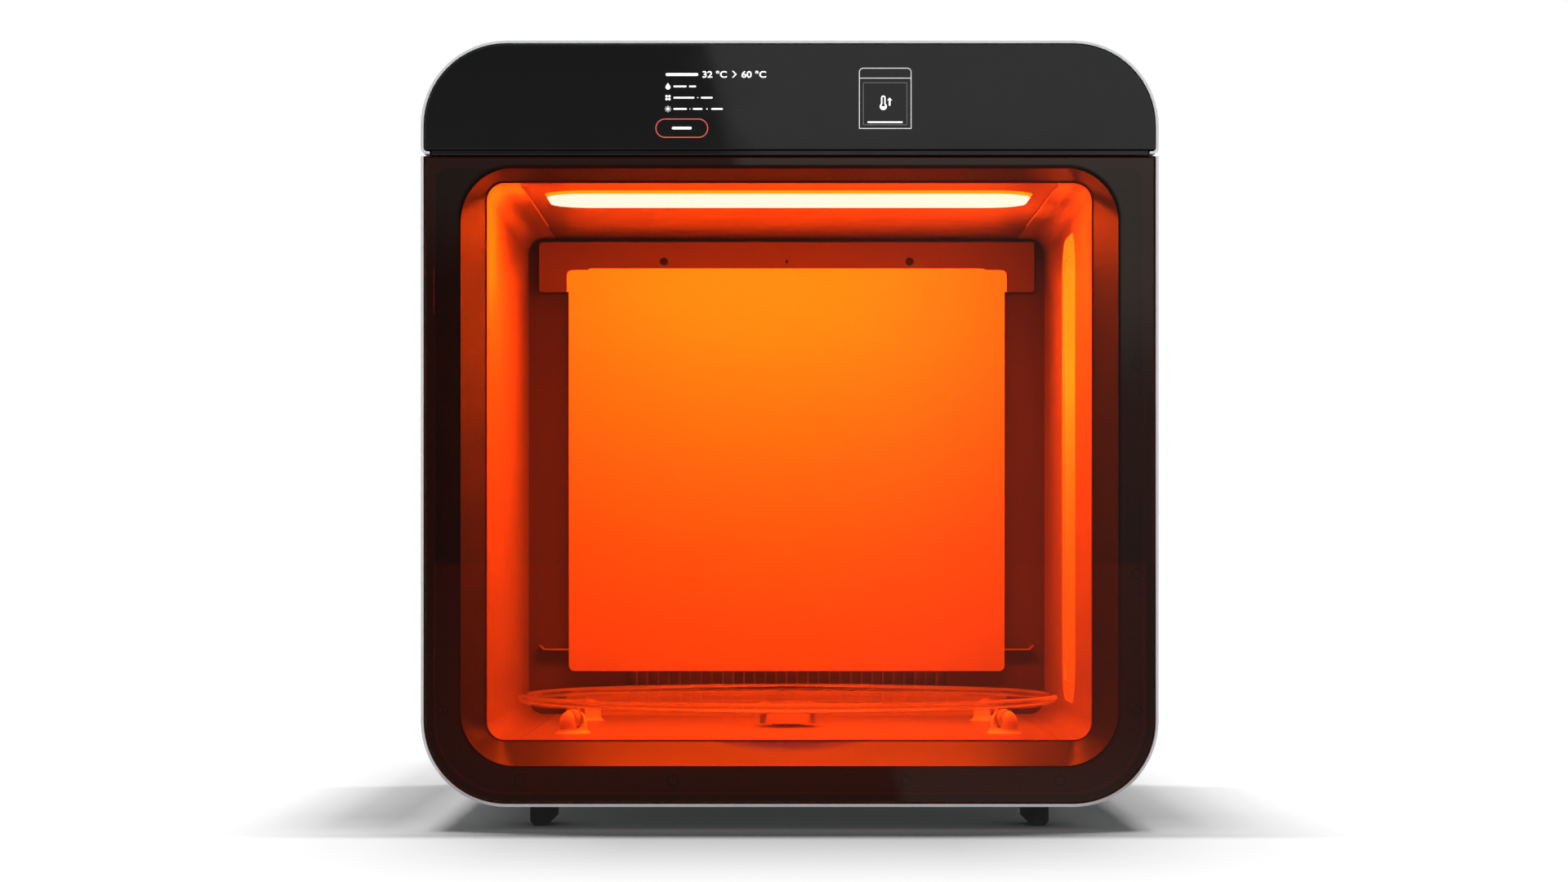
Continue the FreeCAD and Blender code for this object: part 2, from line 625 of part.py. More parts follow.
def drive_motor():
    """Flat square motor under the chamber floor, its bore around the drive shaft."""
    x = (-MOTOR_HALF, MOTOR_HALF)
    y = (TABLE_Y - MOTOR_HALF, TABLE_Y + MOTOR_HALF)
    body = block(x, y, (MOTOR_TOP - 20.0, MOTOR_TOP))
    upright = [edge for edge in body.Edges if edge.BoundBox.ZLength > 1.0]
    body = body.makeChamfer(4.0, upright)
    boss = rod((0, TABLE_Y, MOTOR_TOP), (0, 0, 1), 2.0, 11.0)
    bore = rod((0, TABLE_Y, 31.0), (0, 0, 1), 20.0, SHAFT_RADIUS + PIN_CLEARANCE)
    return fused(body, boss).cut(bore)


def motor_bracket():
    """Bridge over the motor, standing on the base tray."""
    y = (TABLE_Y - 28.0, TABLE_Y + 28.0)
    foot = FOOT_HEIGHT + SHEET + 2.0
    bridge = block((-42.0, 42.0), y, (MOTOR_TOP, MOTOR_TOP + 2.0))
    left = block((-42.0, -40.0), y, (foot, MOTOR_TOP + 2.0))
    right = block((40.0, 42.0), y, (foot, MOTOR_TOP + 2.0))
    hole = rod((0, TABLE_Y, MOTOR_TOP - OVER), (0, 0, 1), 2.0 + 2 * OVER, 11.2)
    return fused(bridge, left, right).cut(hole)


ROLLER_AXIS_Z = TABLE_LOW - ROLLER_GAP - ROLLER_RADIUS
AXLE_RADIUS = 1.5
DOME_RADIUS = 11.6
DOME_TOP = 86.2


def roller(angle):
    """Full-round roller with stub axles, its axis pointing to the turntable's middle."""
    core = rod((-ROLLER_TREAD, 0, 0), (1, 0, 0), 2 * ROLLER_TREAD, ROLLER_RADIUS - ROLLER_TREAD)
    tyre = Part.makeTorus(ROLLER_RADIUS - ROLLER_TREAD, ROLLER_TREAD, Vector(0, 0, 0), Vector(1, 0, 0))
    axle = rod((-7.5, 0, 0), (1, 0, 0), 15.0, AXLE_RADIUS)
    wheel = fused(core, tyre, axle)
    wheel.translate(Vector(ROLLER_CIRCLE, 0, ROLLER_AXIS_Z))
    return turned(wheel, angle)


def roller_housing(angle):
    """Bell-shaped housing on the floor with a round-bottomed slot for its roller."""
    base = 15.0
    shoulder = DOME_TOP - DOME_RADIUS
    flare = base - DOME_RADIUS
    floor = CHAMBER_FLOOR
    foot = Vector(base, 0, floor)
    waist = Vector(DOME_RADIUS, 0, floor + 5.5)
    bend = Vector(DOME_RADIUS + flare * 0.22, 0, floor + 1.9)
    top = Vector(0, 0, DOME_TOP)
    start = Vector(DOME_RADIUS, 0, shoulder)
    slope = math.sqrt(0.5) * DOME_RADIUS
    edges = [Part.LineSegment(Vector(0, 0, floor), foot).toShape(), Part.Arc(foot, bend, waist).toShape(),
             Part.LineSegment(waist, start).toShape(),
             Part.Arc(start, Vector(slope, 0, shoulder + slope), top).toShape(),
             Part.LineSegment(top, Vector(0, 0, floor)).toShape()]
    bell = Part.Face(Part.Wire(edges)).revolve(Vector(0, 0, 0), Vector(0, 0, 1), 360)
    half = ROLLER_TREAD + 0.6
    slot_z = ROLLER_AXIS_Z - ROLLER_RADIUS + ROLLER_TREAD + 0.3
    groove = rod((0, -base - OVER, slot_z), (0, 1, 0), 2 * (base + OVER), half)
    slot = block((-half, half), (-base - OVER, base + OVER), (slot_z, DOME_TOP + OVER))
    bore = rod((-8.0, 0, ROLLER_AXIS_Z), (1, 0, 0), 16.0, AXLE_RADIUS + PIN_CLEARANCE)
    housing = bell.cut(Part.makeCompound([groove.fuse(slot)])).cut(bore)
    housing.translate(Vector(ROLLER_CIRCLE, 0, 0))
    return turned(housing, angle)


# ------------------------------------------------------------------ door
HINGE_CUT = ARM_HALF_HEIGHT + ARM_CLEARANCE + BLOCK_HEIGHT + 0.1
GRIP_BACK = DOOR_BACK - GRIP_DEPTH


def grip_gap():
    """Finger gap cut into the right edge of the door from behind."""
    return block((HALF_WIDTH - 12.0, HALF_WIDTH + OVER), (GRIP_BACK, FASCIA_FRONT), (GRIP_LOW, GRIP_HIGH))


def hinge_gap(half_height, x_end, y):
    """Openings around both hinge heights at the left edge of the door."""
    gaps = [block((-HALF_WIDTH - OVER, x_end), y, (z - half_height, z + half_height)) for z in HINGE_HEIGHTS]
    return Part.makeCompound(gaps)


def door_glass():
    """Amber light-filter glass with a bevelled front edge."""
    half = HALF_WIDTH - SHEET - GLASS_GAP
    radius = CORNER_RADIUS - SHEET - GLASS_GAP
    low = FOOT_HEIGHT + SHEET + GLASS_GAP
    glass = front_slab(half, low, DOOR_TOP, radius, 0, (FRONT, FRONT + GLASS_THICKNESS))
    edges = [edge for edge in glass.Edges if edge.BoundBox.YMax < FRONT + 1e-3]
    return glass.makeChamfer(GLASS_BEVEL, edges)


def door_rim():
    """U of sheet around the door's sides and bottom."""
    y = (FRONT, DOOR_BACK)
    rim = front_slab(HALF_WIDTH, FOOT_HEIGHT, DOOR_TOP, CORNER_RADIUS, 0, y)
    hollow = front_slab(HALF_WIDTH - SHEET, FOOT_HEIGHT + SHEET, DOOR_TOP + OVER, CORNER_RADIUS - SHEET, 0,
                        (y[0] - OVER, y[1] + OVER))
    arm_gap = hinge_gap(ARM_HALF_HEIGHT + 0.6, -HALF_WIDTH + SHEET + OVER, (HINGE_Y - 7.5, DOOR_BACK + OVER))
    return rim.cut(hollow).cut(arm_gap).cut(grip_gap())


def door_frame():
    """Black ring bonded to the back of the glass."""
    y = (FRONT + GLASS_THICKNESS, DOOR_BACK)
    half = HALF_WIDTH - SHEET - FRAME_GAP
    low = FOOT_HEIGHT + SHEET + FRAME_GAP
    radius = CORNER_RADIUS - SHEET - FRAME_GAP
    ring = front_slab(half, low, DOOR_TOP, radius, 0, y)
    window = front_slab(half - FRAME_WIDTH, low + FRAME_WIDTH, DOOR_TOP - FRAME_WIDTH,
                        radius - FRAME_WIDTH, 10.0, (y[0] - OVER, y[1] + OVER))
    ring = ring.cut(window).cut(hinge_gap(HINGE_CUT, HINGE_X + 10.0, (y[0] + FRAME_WEB, y[1] + OVER)))
    recesses = [block((half - FRAME_WIDTH - OVER, half + OVER), (DOOR_BACK - 1.5, DOOR_BACK + OVER),
                      (z - 20.2, z + 20.2)) for z in LATCH_HEIGHTS]
    return ring.cut(grip_gap()).cut(Part.makeCompound(recesses))


def door_gasket():
    """Soft seal on the back of the door frame, open at hinges, latches, finger gap and left screw."""
    y = (DOOR_BACK, FASCIA_FRONT - 0.3)
    past = (y[0] - OVER, y[1] + OVER)
    half = HALF_WIDTH - GASKET_INSET
    low = FOOT_HEIGHT + GASKET_INSET
    high = DOOR_TOP - SHEET - 0.5
    radius = CORNER_RADIUS - GASKET_INSET
    width = GASKET_WIDTH
    ring = front_slab(half, low, high, radius, 6.0, y)
    window = front_slab(half - width, low + width, high - width, radius - width, 6.0 - width, past)
    openings = [hinge_gap(HINGE_CUT + 5.0, HINGE_X + 10.0, past)]
    openings += [block((half - 10.0, HALF_WIDTH), past, (z - 21.0, z + 21.0)) for z in LATCH_HEIGHTS]
    openings.append(block((half - 10.0, HALF_WIDTH), past, (GRIP_LOW - 2.0, GRIP_HIGH + 2.0)))
    screw_z = FASCIA_SCREW_PLACES[4][1]
    openings.append(block((-HALF_WIDTH, 10.0 - half), past, (screw_z - 6.0, screw_z + 10.0)))
    return ring.cut(window).cut(Part.makeCompound(openings))


def hinge_blocks():
    """Blocks in the door above and below each hinge arm, bored for the pin."""
    solids = []
    front = FRONT + GLASS_THICKNESS + FRAME_WEB
    for z in HINGE_HEIGHTS:
        for low in (z - ARM_HALF_HEIGHT - ARM_CLEARANCE - BLOCK_HEIGHT, z + ARM_HALF_HEIGHT + ARM_CLEARANCE):
            body = block((-HALF_WIDTH + SHEET + FRAME_GAP, HINGE_X + KNUCKLE_RADIUS), (front, HINGE_Y),
                         (low, low + BLOCK_HEIGHT))
            knuckle = rod((HINGE_X, HINGE_Y, low), (0, 0, 1), BLOCK_HEIGHT, KNUCKLE_RADIUS)
            bore = rod((HINGE_X, HINGE_Y, low - OVER), (0, 0, 1), BLOCK_HEIGHT + 2 * OVER,
                       PIN_RADIUS + PIN_CLEARANCE)
            solids.append(fused(body, knuckle).cut(bore))
    return solids


def hinge_arms():
    """Arms on the fascia that carry the hinge pins."""
    solids = []
    for z in HINGE_HEIGHTS:
        height = (z - ARM_HALF_HEIGHT, z + ARM_HALF_HEIGHT)
        arm = block((HINGE_X - ARM_HALF_WIDTH, HINGE_X + ARM_HALF_WIDTH), (HINGE_Y, FASCIA_FRONT - 1.8), height)
        knuckle = rod((HINGE_X, HINGE_Y, height[0]), (0, 0, 1), 2 * ARM_HALF_HEIGHT, KNUCKLE_RADIUS)
        base = block((HINGE_X - 3.0, HINGE_X + 11.0), (FASCIA_FRONT - 1.8, FASCIA_FRONT), (z - 22.0, z + 22.0))
        bore = rod((HINGE_X, HINGE_Y, height[0] - OVER), (0, 0, 1), 2 * (ARM_HALF_HEIGHT + OVER), PIN_RADIUS)
        solids.append(fused(arm, knuckle, base).cut(bore))
    return solids


def hinge_pins():
    """Hinge pins, held by the arms."""
    reach = ARM_HALF_HEIGHT + ARM_CLEARANCE + BLOCK_HEIGHT
    return [rod((HINGE_X, HINGE_Y, z - reach), (0, 0, 1), 2 * reach, PIN_RADIUS) for z in HINGE_HEIGHTS]


def latch_magnets():
    """Magnets on the fascia that hold the door shut."""
    x = (HALF_WIDTH - 9.4, HALF_WIDTH - 2.8)
    return [block(x, (FASCIA_FRONT - 4.5, FASCIA_FRONT), (z - 16.0, z + 16.0)) for z in LATCH_HEIGHTS]


def strike_plates():
    """Steel plates let into the door frame opposite the magnets."""
    x = (HALF_WIDTH - 9.4, HALF_WIDTH - 2.8)
    return [block(x, (DOOR_BACK - 1.5, DOOR_BACK), (z - 20.0, z + 20.0)) for z in LATCH_HEIGHTS]


# ------------------------------------------------------------------ fans
def fan_frame(size, depth, x, front, z):
    """Square fan frame with a motor hub on four struts at its back, and the rotor's axle."""
    half = size / 2
    duct_radius = half * 0.945
    hub_radius = half * 0.33
    body = front_slab(half, -half, half, half * 0.08, half * 0.08, (0.0, depth))
    body = body.cut(rod((0, -OVER, 0), (0, 1, 0), depth + 2 * OVER, duct_radius))
    plate = 4.0
    hub = rod((0, depth - plate, 0), (0, 1, 0), plate, hub_radius)
    axle = rod((0, depth * 0.25, 0), (0, 1, 0), depth * 0.75, 1.5)
    struts = []
    for step in range(4):
        strut = block((hub_radius - OVER, duct_radius + OVER), (depth - plate, depth), (-1.8, 1.8))
        strut.rotate(Vector(0, 0, 0), Vector(0, 1, 0), 45 + 90 * step)
        struts.append(strut)
    frame = fused(body, hub, axle, *struts)
    frame.translate(Vector(x, front, z))
    return frame


def fan_rotor(size, depth, blades, x, front, z):
    """Bladed rotor that turns on the frame's axle."""
    half = size / 2
    tip = half * 0.945 - 1.2
    hub_radius = half * 0.36
    long = depth - 4.0 - 2.0
    hub = rod((0, 1.0, 0), (0, 1, 0), long - 0.5, hub_radius)
    ring = rod((0, 1.5, 0), (0, 1, 0), long - 2.0, tip)
    vanes = []
    for step in range(blades):
        vane = block((hub_radius - 2.0, half), (-long, long), (-0.9, 0.9))
        vane.rotate(Vector(0, 0, 0), Vector(1, 0, 0), 52)
        vane.translate(Vector(0, 1.0 + long / 2, 0))
        vane.rotate(Vector(0, 0, 0), Vector(0, 1, 0), 360.0 * step / blades)
        vanes.append(vane.common(ring))
    bore = rod((0, -OVER, 0), (0, 1, 0), depth, 1.5 + PIN_CLEARANCE)
    rotor = fused(hub, *vanes).cut(bore)
    rotor.translate(Vector(x, front, z))
    return rotor


CIRCULATION_FAN = (120.0, 25.0)
CIRCULATION_FRONT = CHAMBER_BACK + LINER + 0.5
COOLING_FAN = (60.0, 25.0)
COOLING_FRONT = COVER_FRONT - COOLING_FAN[1]


def fan_guard():
    """Wire guard over the cooling fan's outlet."""
    wire = 0.95
    y = COVER_BACK + wire + 0.05
    rings = [Part.makeTorus(radius, wire, Vector(FAN_X, y, SERVICE_Z), Vector(0, 1, 0))
             for radius in (8.0, 15.0, 22.0, 29.0)]
    bars = []
    for step in range(4):
        bar = rod((-29.0, 0, 0), (1, 0, 0), 58.0, wire * 0.8)
        bar.rotate(Vector(0, 0, 0), Vector(0, 1, 0), 45.0 * step)
        bar.translate(Vector(FAN_X, y, SERVICE_Z))
        bars.append(bar)
    return fused(rings[0], *(rings[1:] + bars))


# ------------------------------------------------------------------ heating and electronics
def heater_core():
    """Finned heater bar behind the warm air slot."""
    z = (LOWER_REFLECTOR_HIGH - 4.0, REFLECTOR_LOW + 6.0)
    y = (CHAMBER_BACK + LINER + 3.0, CHAMBER_BACK + LINER + 27.0)
    rails = [block((-150.0, 150.0), y, (z[0], z[0] + 2.0)), block((-150.0, 150.0), y, (z[1] - 2.0, z[1]))]
    fins = []
    for index in range(31):
        x = -148.5 + 9.9 * index
        fins.append(block((x - 0.5, x + 0.5), y, z))
    return fused(rails[0], rails[1], *fins)


def air_duct():
    """Plenum behind the rear wall that leads air from the fan to the heater."""
    y = (CHAMBER_BACK + LINER, COVER_FRONT - 3.0)
    duct = front_slab(172.0, 80.0, 362.0, 12.0, 12.0, y)
    hollow = front_slab(170.5, 81.5, 360.5, 10.5, 10.5, (y[0] - OVER, y[1] - 1.5))
    return duct.cut(hollow)


def power_supply():
    """Enclosed power supply on the deck, with its terminal strip."""
    floor = DOOR_TOP - SHEET
    case = block((-240.0, -40.0), (90.0, 190.0), (floor, floor + 38.0))
    strip = block((-40.0, -26.0), (100.0, 180.0), (floor + 4.0, floor + 22.0))
    slots = [block((-230.0 + 12.0 * index, -224.0 + 12.0 * index), (100.0, 180.0), (floor + 36.0, floor + 40.0))
             for index in range(15)]
    return fused(case, strip).cut(Part.makeCompound(slots))


def control_board():
    """Controller board on four posts."""
    floor = DOOR_TOP - SHEET
    board = block((10.0, 150.0), (90.0, 190.0), (floor + 8.0, floor + 9.6))
    posts = [rod((x, y, floor), (0, 0, 1), 8.0, 3.0) for x in (16.0, 144.0) for y in (96.0, 184.0)]
    parts = [block((60.0, 88.0), (130.0, 158.0), (floor + 9.6, floor + 12.6))]
    parts += [block((20.0 + 22.0 * index, 36.0 + 22.0 * index), (92.0, 102.0), (floor + 9.6, floor + 19.6))
              for index in range(5)]
    parts += [rod((112.0 + 14.0 * index, 160.0, floor + 9.6), (0, 0, 1), 14.0, 5.0) for index in range(2)]
    return fused(board, *(posts + parts))


def power_inlet():
    """Mains inlet module with the window and pivot of its rocker switch."""
    flange_x = (INLET_X - 23.0, SWITCH_X + 16.0)
    flange = block(flange_x, (COVER_BACK, BACK), (SERVICE_Z - 18.0, SERVICE_Z + 18.0))
    body = block((INLET_X - 19.0, SWITCH_X + 12.0), (COVER_BACK - 26.0, COVER_BACK + OVER / 2),
                 (SERVICE_Z - 14.0, SERVICE_Z + 14.0))
    module = fused(flange, body)
    socket_points = [(INLET_X - 12.5, SERVICE_Z - 8.5), (INLET_X + 12.5, SERVICE_Z - 8.5),
                     (INLET_X + 12.5, SERVICE_Z + 3.5), (INLET_X + 7.5, SERVICE_Z + 8.5),
                     (INLET_X - 7.5, SERVICE_Z + 8.5), (INLET_X - 12.5, SERVICE_Z + 3.5)]
    socket = profile_slab(socket_points, [1.0] * 6, (BACK - 17.0, BACK + OVER))
    window = block((SWITCH_X - 7.0, SWITCH_X + 7.0), (BACK - 16.0, BACK + OVER),
                   (SERVICE_Z - 10.2, SERVICE_Z + 10.2))
    module = module.cut(socket).cut(window)
    pins = []
    for x, z in ((-7.0, -2.0), (0.0, 2.5), (7.0, -2.0)):
        pins.append(block((INLET_X + x - 1.0, INLET_X + x + 1.0), (BACK - 18.0, BACK - 6.0),
                          (SERVICE_Z + z - 2.0, SERVICE_Z + z + 2.0)))
    pivot = rod((SWITCH_X - 8.0, ROCKER_Y, SERVICE_Z), (1, 0, 0), 16.0, 1.5)
    return fused(module, pivot, *pins)


ROCKER_Y = BACK - 8.0


def power_switch_rocker():
    """Two-slope rocker, resting with its upper half pressed in."""
    half_height = 8.8
    depth = 5.6
    hump = depth - half_height * math.tan(math.radians(ROCKER_TILT))
    profile = [(-half_height, depth), (0.0, hump), (half_height, depth), (half_height * 0.8, 0.0),
               (3.0, -3.5), (-3.0, -3.5), (-half_height * 0.8, 0.0)]
    points = [Vector(SWITCH_X - 6.6, ROCKER_Y + y, SERVICE_Z + z) for z, y in profile]
    wire = rounded_wire(points, [0.8, 0, 0.8, 1.0, 0.8, 0.8, 1.0])
    rocker = Part.Face(wire).extrude(Vector(13.2, 0, 0))
    rocker = rocker.cut(rod((SWITCH_X - 8.0, ROCKER_Y, SERVICE_Z), (1, 0, 0), 16.0, 1.5 + PIN_CLEARANCE))
    rocker.rotate(Vector(SWITCH_X, ROCKER_Y, SERVICE_Z), Vector(1, 0, 0), ROCKER_TILT)
    return rocker


# ------------------------------------------------------------------ one STEP file for each node
def export(name, shape):
    """Writes one node, a single solid or a group of separate solids."""
    shapes = shape if isinstance(shape, list) else [shape]
    solids = [solid for item in shapes for solid in item.Solids]
    for solid in solids:
        if not solid.isValid():
            raise ValueError("invalid solid in " + name)
    whole = solids[0] if len(solids) == 1 else Part.makeCompound(solids)
    whole.exportStep("parts/" + name + ".step")
    print("%-24s %3d solid(s) %10.1f mm3" % (name, len(solids), whole.Volume))


PLAIN_NODES = (lower_shell, upper_shell, rear_cover, rear_screws, feet, base_tray, top_deck,
               console_glass, console_frame, touch_display,
               front_fascia, fascia_screws, opening_funnel,
               chamber_left_liner, chamber_right_liner, chamber_ceiling, chamber_floor, chamber_rear_wall,
               rear_reflector, lower_reflector, reflector_bracket, bracket_screws, reflector_clips,
               turntable_glass, turntable_bead, turntable_hub, shaft_bearing, drive_motor, motor_bracket,
               door_glass, door_rim, door_frame, door_gasket, hinge_blocks, hinge_arms, hinge_pins,
               latch_magnets, strike_plates,
               fan_guard, heater_core, air_duct, power_supply, control_board, power_inlet,
               power_switch_rocker)

os.makedirs("parts", exist_ok=True)

for make in PLAIN_NODES:
    export(make.__name__, make())

for piece, make in (("lens", lamp_lens), ("housing", lamp_housing), ("board", lamp_board)):
    drawn = make()
    export("ceiling_lamp_" + piece, on_ceiling(drawn))
    export("side_lamp_" + piece, on_side_wall(drawn))

export("roller_housings", [roller_housing(angle) for angle in ROLLER_ANGLES])
for index, angle in enumerate(ROLLER_ANGLES):
    export("roller_%d" % (index + 1), roller(angle))

circulation = (0.0, CIRCULATION_FRONT, CIRCULATION_Z)
cooling = (FAN_X, COOLING_FRONT, SERVICE_Z)
export("circulation_fan_frame", fan_frame(*CIRCULATION_FAN, *circulation))
export("circulation_fan_rotor", fan_rotor(*CIRCULATION_FAN, 7, *circulation))
export("cooling_fan_frame", fan_frame(*COOLING_FAN, *cooling))
export("cooling_fan_rotor", fan_rotor(*COOLING_FAN, 9, *cooling))
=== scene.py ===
import json
import math

import bmesh
import bpy
from mathutils import Euler, Matrix, Vector


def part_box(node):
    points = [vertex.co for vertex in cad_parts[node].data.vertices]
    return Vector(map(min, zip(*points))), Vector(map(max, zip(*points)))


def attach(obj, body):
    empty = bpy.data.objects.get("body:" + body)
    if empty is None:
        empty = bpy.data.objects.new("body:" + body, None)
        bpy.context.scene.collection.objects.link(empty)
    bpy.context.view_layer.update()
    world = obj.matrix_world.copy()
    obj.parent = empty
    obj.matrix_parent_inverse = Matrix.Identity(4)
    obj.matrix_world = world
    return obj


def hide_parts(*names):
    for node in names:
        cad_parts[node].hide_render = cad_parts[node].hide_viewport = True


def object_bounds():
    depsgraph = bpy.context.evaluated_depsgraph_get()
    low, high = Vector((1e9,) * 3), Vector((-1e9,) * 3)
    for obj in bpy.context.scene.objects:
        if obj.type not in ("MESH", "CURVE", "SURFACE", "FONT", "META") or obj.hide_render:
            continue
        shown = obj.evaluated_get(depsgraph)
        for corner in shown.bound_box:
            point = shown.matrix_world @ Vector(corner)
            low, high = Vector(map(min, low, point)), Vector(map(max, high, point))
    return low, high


# Looks of the post-cure station: materials, detailed pieces, lamps, studio and camera.
# Metres, in the frame of the CAD model: +Z up, the door faces -Y.

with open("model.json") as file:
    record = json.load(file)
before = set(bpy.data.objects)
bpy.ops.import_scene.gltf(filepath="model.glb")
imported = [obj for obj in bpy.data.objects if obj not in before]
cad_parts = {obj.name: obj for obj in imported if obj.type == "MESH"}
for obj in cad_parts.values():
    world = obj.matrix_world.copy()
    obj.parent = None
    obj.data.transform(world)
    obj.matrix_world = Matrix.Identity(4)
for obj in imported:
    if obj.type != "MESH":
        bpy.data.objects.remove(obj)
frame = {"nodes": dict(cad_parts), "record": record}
cad_low, cad_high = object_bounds()
NODES = frame["nodes"]
MM = 0.001
scene = bpy.context.scene


# ------------------------------------------------------------------ node helpers
class Graph:
    """Adds nodes to a node tree. A plain number given to a helper is set on the socket itself."""

    def __init__(self, tree):
        self.nodes = tree.nodes
        self.links = tree.links

    def feed(self, socket, value):
        """Sets a number on a socket, or links another node's output to it."""
        if isinstance(value, float):
            socket.default_value = value
        else:
            self.links.new(value, socket)

    def axes(self, vector):
        """The X, Y and Z of a vector."""
        split = self.nodes.new("ShaderNodeSeparateXYZ")
        self.links.new(vector, split.inputs["Vector"])
        return split.outputs

    def maths(self, kind, *values):
        """One step of arithmetic on one or two values."""
        node = self.nodes.new("ShaderNodeMath")
        node.operation = kind
        for socket, value in zip(node.inputs, values):
            self.feed(socket, value)
        return node.outputs["Value"]

    def centred(self, value, factor):
        """A value times a factor, moved so that 0 comes to the middle of the range from 0 to 1."""
        return self.maths("ADD", self.maths("MULTIPLY", value, factor), 0.5)

    def clamped(self, value):
        """A value held between 0 and 1."""
        return self.maths("MINIMUM", self.maths("MAXIMUM", value, 0.0), 1.0)

    def mixed(self, share, first, second):
        """The first value where the share is 0, the second where it is 1."""
        node = self.nodes.new("ShaderNodeMix")
        node.data_type = "FLOAT"
        self.links.new(share, node.inputs["Factor"])
        self.feed(node.inputs["A"], first)
        self.feed(node.inputs["B"], second)
        return node.outputs["Result"]

    def spread(self, value, low, high, start=0.3, end=0.7):
        """Maps a value between start and end to numbers between low and high."""
        node = self.nodes.new("ShaderNodeMapRange")
        for name, number in (("From Min", start), ("From Max", end), ("To Min", low), ("To Max", high)):
            node.inputs[name].default_value = number
        self.links.new(value, node.inputs["Value"])
        return node.outputs["Result"]

    def levels(self, value, stops, easing):
        """Grey level of a value between 0 and 1, from (position, level) stops."""
        ramp = self.nodes.new("ShaderNodeValToRGB")
        ramp.color_ramp.interpolation = easing
        elements = ramp.color_ramp.elements
        while len(elements) < len(stops):
            elements.new(0.5)
        for element, (position, level) in zip(elements, stops):
            element.position = position
            element.color = (*grey(level), 1.0)
        self.links.new(value, ramp.inputs["Fac"])
        return ramp.outputs["Color"]

    def profile(self, value, stops):
        """Straight runs between (place, level) stops, constant before the first and after the last."""
        first, last = stops[0][0], stops[-1][0]
        shares = [((place - first) / (last - first), level) for place, level in stops]
        return self.levels(self.spread(value, 0.0, 1.0, first, last), shares, "LINEAR")


class Finish(Graph):
    """A node material around one Principled shader."""

    def __init__(self, name):
        self.name = name
        self.material = bpy.data.materials.new(name)
        self.material.use_nodes = True
        super().__init__(self.material.node_tree)
        self.shader = self.nodes["Principled BSDF"]
        self.place = self.nodes.new("ShaderNodeTexCoord").outputs["Object"]

    def set(self, **values):
        """Plain values on the shader's sockets; underscores stand for spaces."""
        for name, value in values.items():
            self.shader.inputs[name.replace("_", " ")].default_value = value
        return self

    def stretched(self, factors):
        """Object coordinates scaled along each axis."""
        mapping = self.nodes.new("ShaderNodeMapping")
        mapping.inputs["Scale"].default_value = factors
        self.links.new(self.place, mapping.inputs["Vector"])
        return mapping.outputs["Vector"]

    def noise(self, scale, detail=3.0, vector=None):
        """Noise with about this many blobs to the metre."""
        texture = self.nodes.new("ShaderNodeTexNoise")
        texture.inputs["Scale"].default_value = scale
        texture.inputs["Detail"].default_value = detail
        self.links.new(vector or self.place, texture.inputs["Vector"])
        return texture.outputs["Fac"]

    def cells(self, scale):
        """Distance to the nearest cell centre, with about this many cells to the metre."""
        texture = self.nodes.new("ShaderNodeTexVoronoi")
        texture.inputs["Scale"].default_value = scale
        self.links.new(self.place, texture.inputs["Vector"])
        return texture.outputs["Distance"]

    def tones(self, value, dark, light, start=0.3, end=0.7):
        """Maps a value between start and end to colours between dark and light."""
        ramp = self.nodes.new("ShaderNodeValToRGB")
        ramp.color_ramp.elements[0].position = start
        ramp.color_ramp.elements[1].position = end
        ramp.color_ramp.elements[0].color = (*dark, 1.0)
        ramp.color_ramp.elements[1].color = (*light, 1.0)
        self.links.new(value, ramp.inputs["Fac"])
        return ramp.outputs["Color"]

    def colour(self, value):
        """Links a base colour."""
        self.links.new(value, self.shader.inputs["Base Color"])
        return self

    def gloss(self, value, low, high, start=0.3, end=0.7):
        """Roughness that follows a value between low and high."""
        self.links.new(self.spread(value, low, high, start, end), self.shader.inputs["Roughness"])
        return self

    def relief(self, value, height):
        """Bump whose full swing is this high, in metres."""
        bump = self.nodes.new("ShaderNodeBump")
        bump.inputs["Strength"].default_value = 1.0
        bump.inputs["Distance"].default_value = height
        self.links.new(value, bump.inputs["Height"])
        self.links.new(bump.outputs["Normal"], self.shader.inputs["Normal"])
        return self


def grey(level):
    """Neutral colour of one level."""
    return (level, level, level)


def around(colour, swing):
    """A darker and a lighter neighbour of a colour."""
    return [c * (1 - swing) for c in colour], [min(1.0, c * (1 + swing)) for c in colour]


# ------------------------------------------------------------------ finishes
EVERY_WAY = (1.0, 1.0, 1.0)
LAMP_WARM = (1.0, 0.97, 0.90, 1.0)


def coated(name, colour, roughness, swing=0.05, grain=2600.0, height=0.03 * MM, metallic=0.0, specular=0.5,
           wear=0.05):
    """Powder or paint coat: fine orange peel, with slow drifts of tone and gloss."""
    finish = Finish(name).set(Metallic=metallic, Specular_IOR_Level=specular)
    finish.colour(finish.tones(finish.noise(scale=9.0), *around(colour, swing)))
    finish.gloss(finish.noise(scale=40.0, detail=5.0), roughness - wear, roughness + wear)
    return finish.relief(finish.noise(grain, detail=2.0), height) if height else finish


def painted_falloff(name, axis, start, end, first, last, roughness, wear=0.05):
    """Coat whose colour runs from a first colour to a last one along an axis of the frame: painted light and
    shade for how the light falls off.
    """
    finish = Finish(name)
    along = finish.spread(finish.axes(finish.place)[axis], 0.0, 1.0, start, end)
    finish.colour(finish.tones(along, first, last, 0.0, 1.0))
    finish.gloss(finish.noise(scale=40.0, detail=5.0), roughness - wear, roughness + wear)
    return finish.relief(finish.noise(scale=2600.0, detail=2.0), 0.01 * MM)


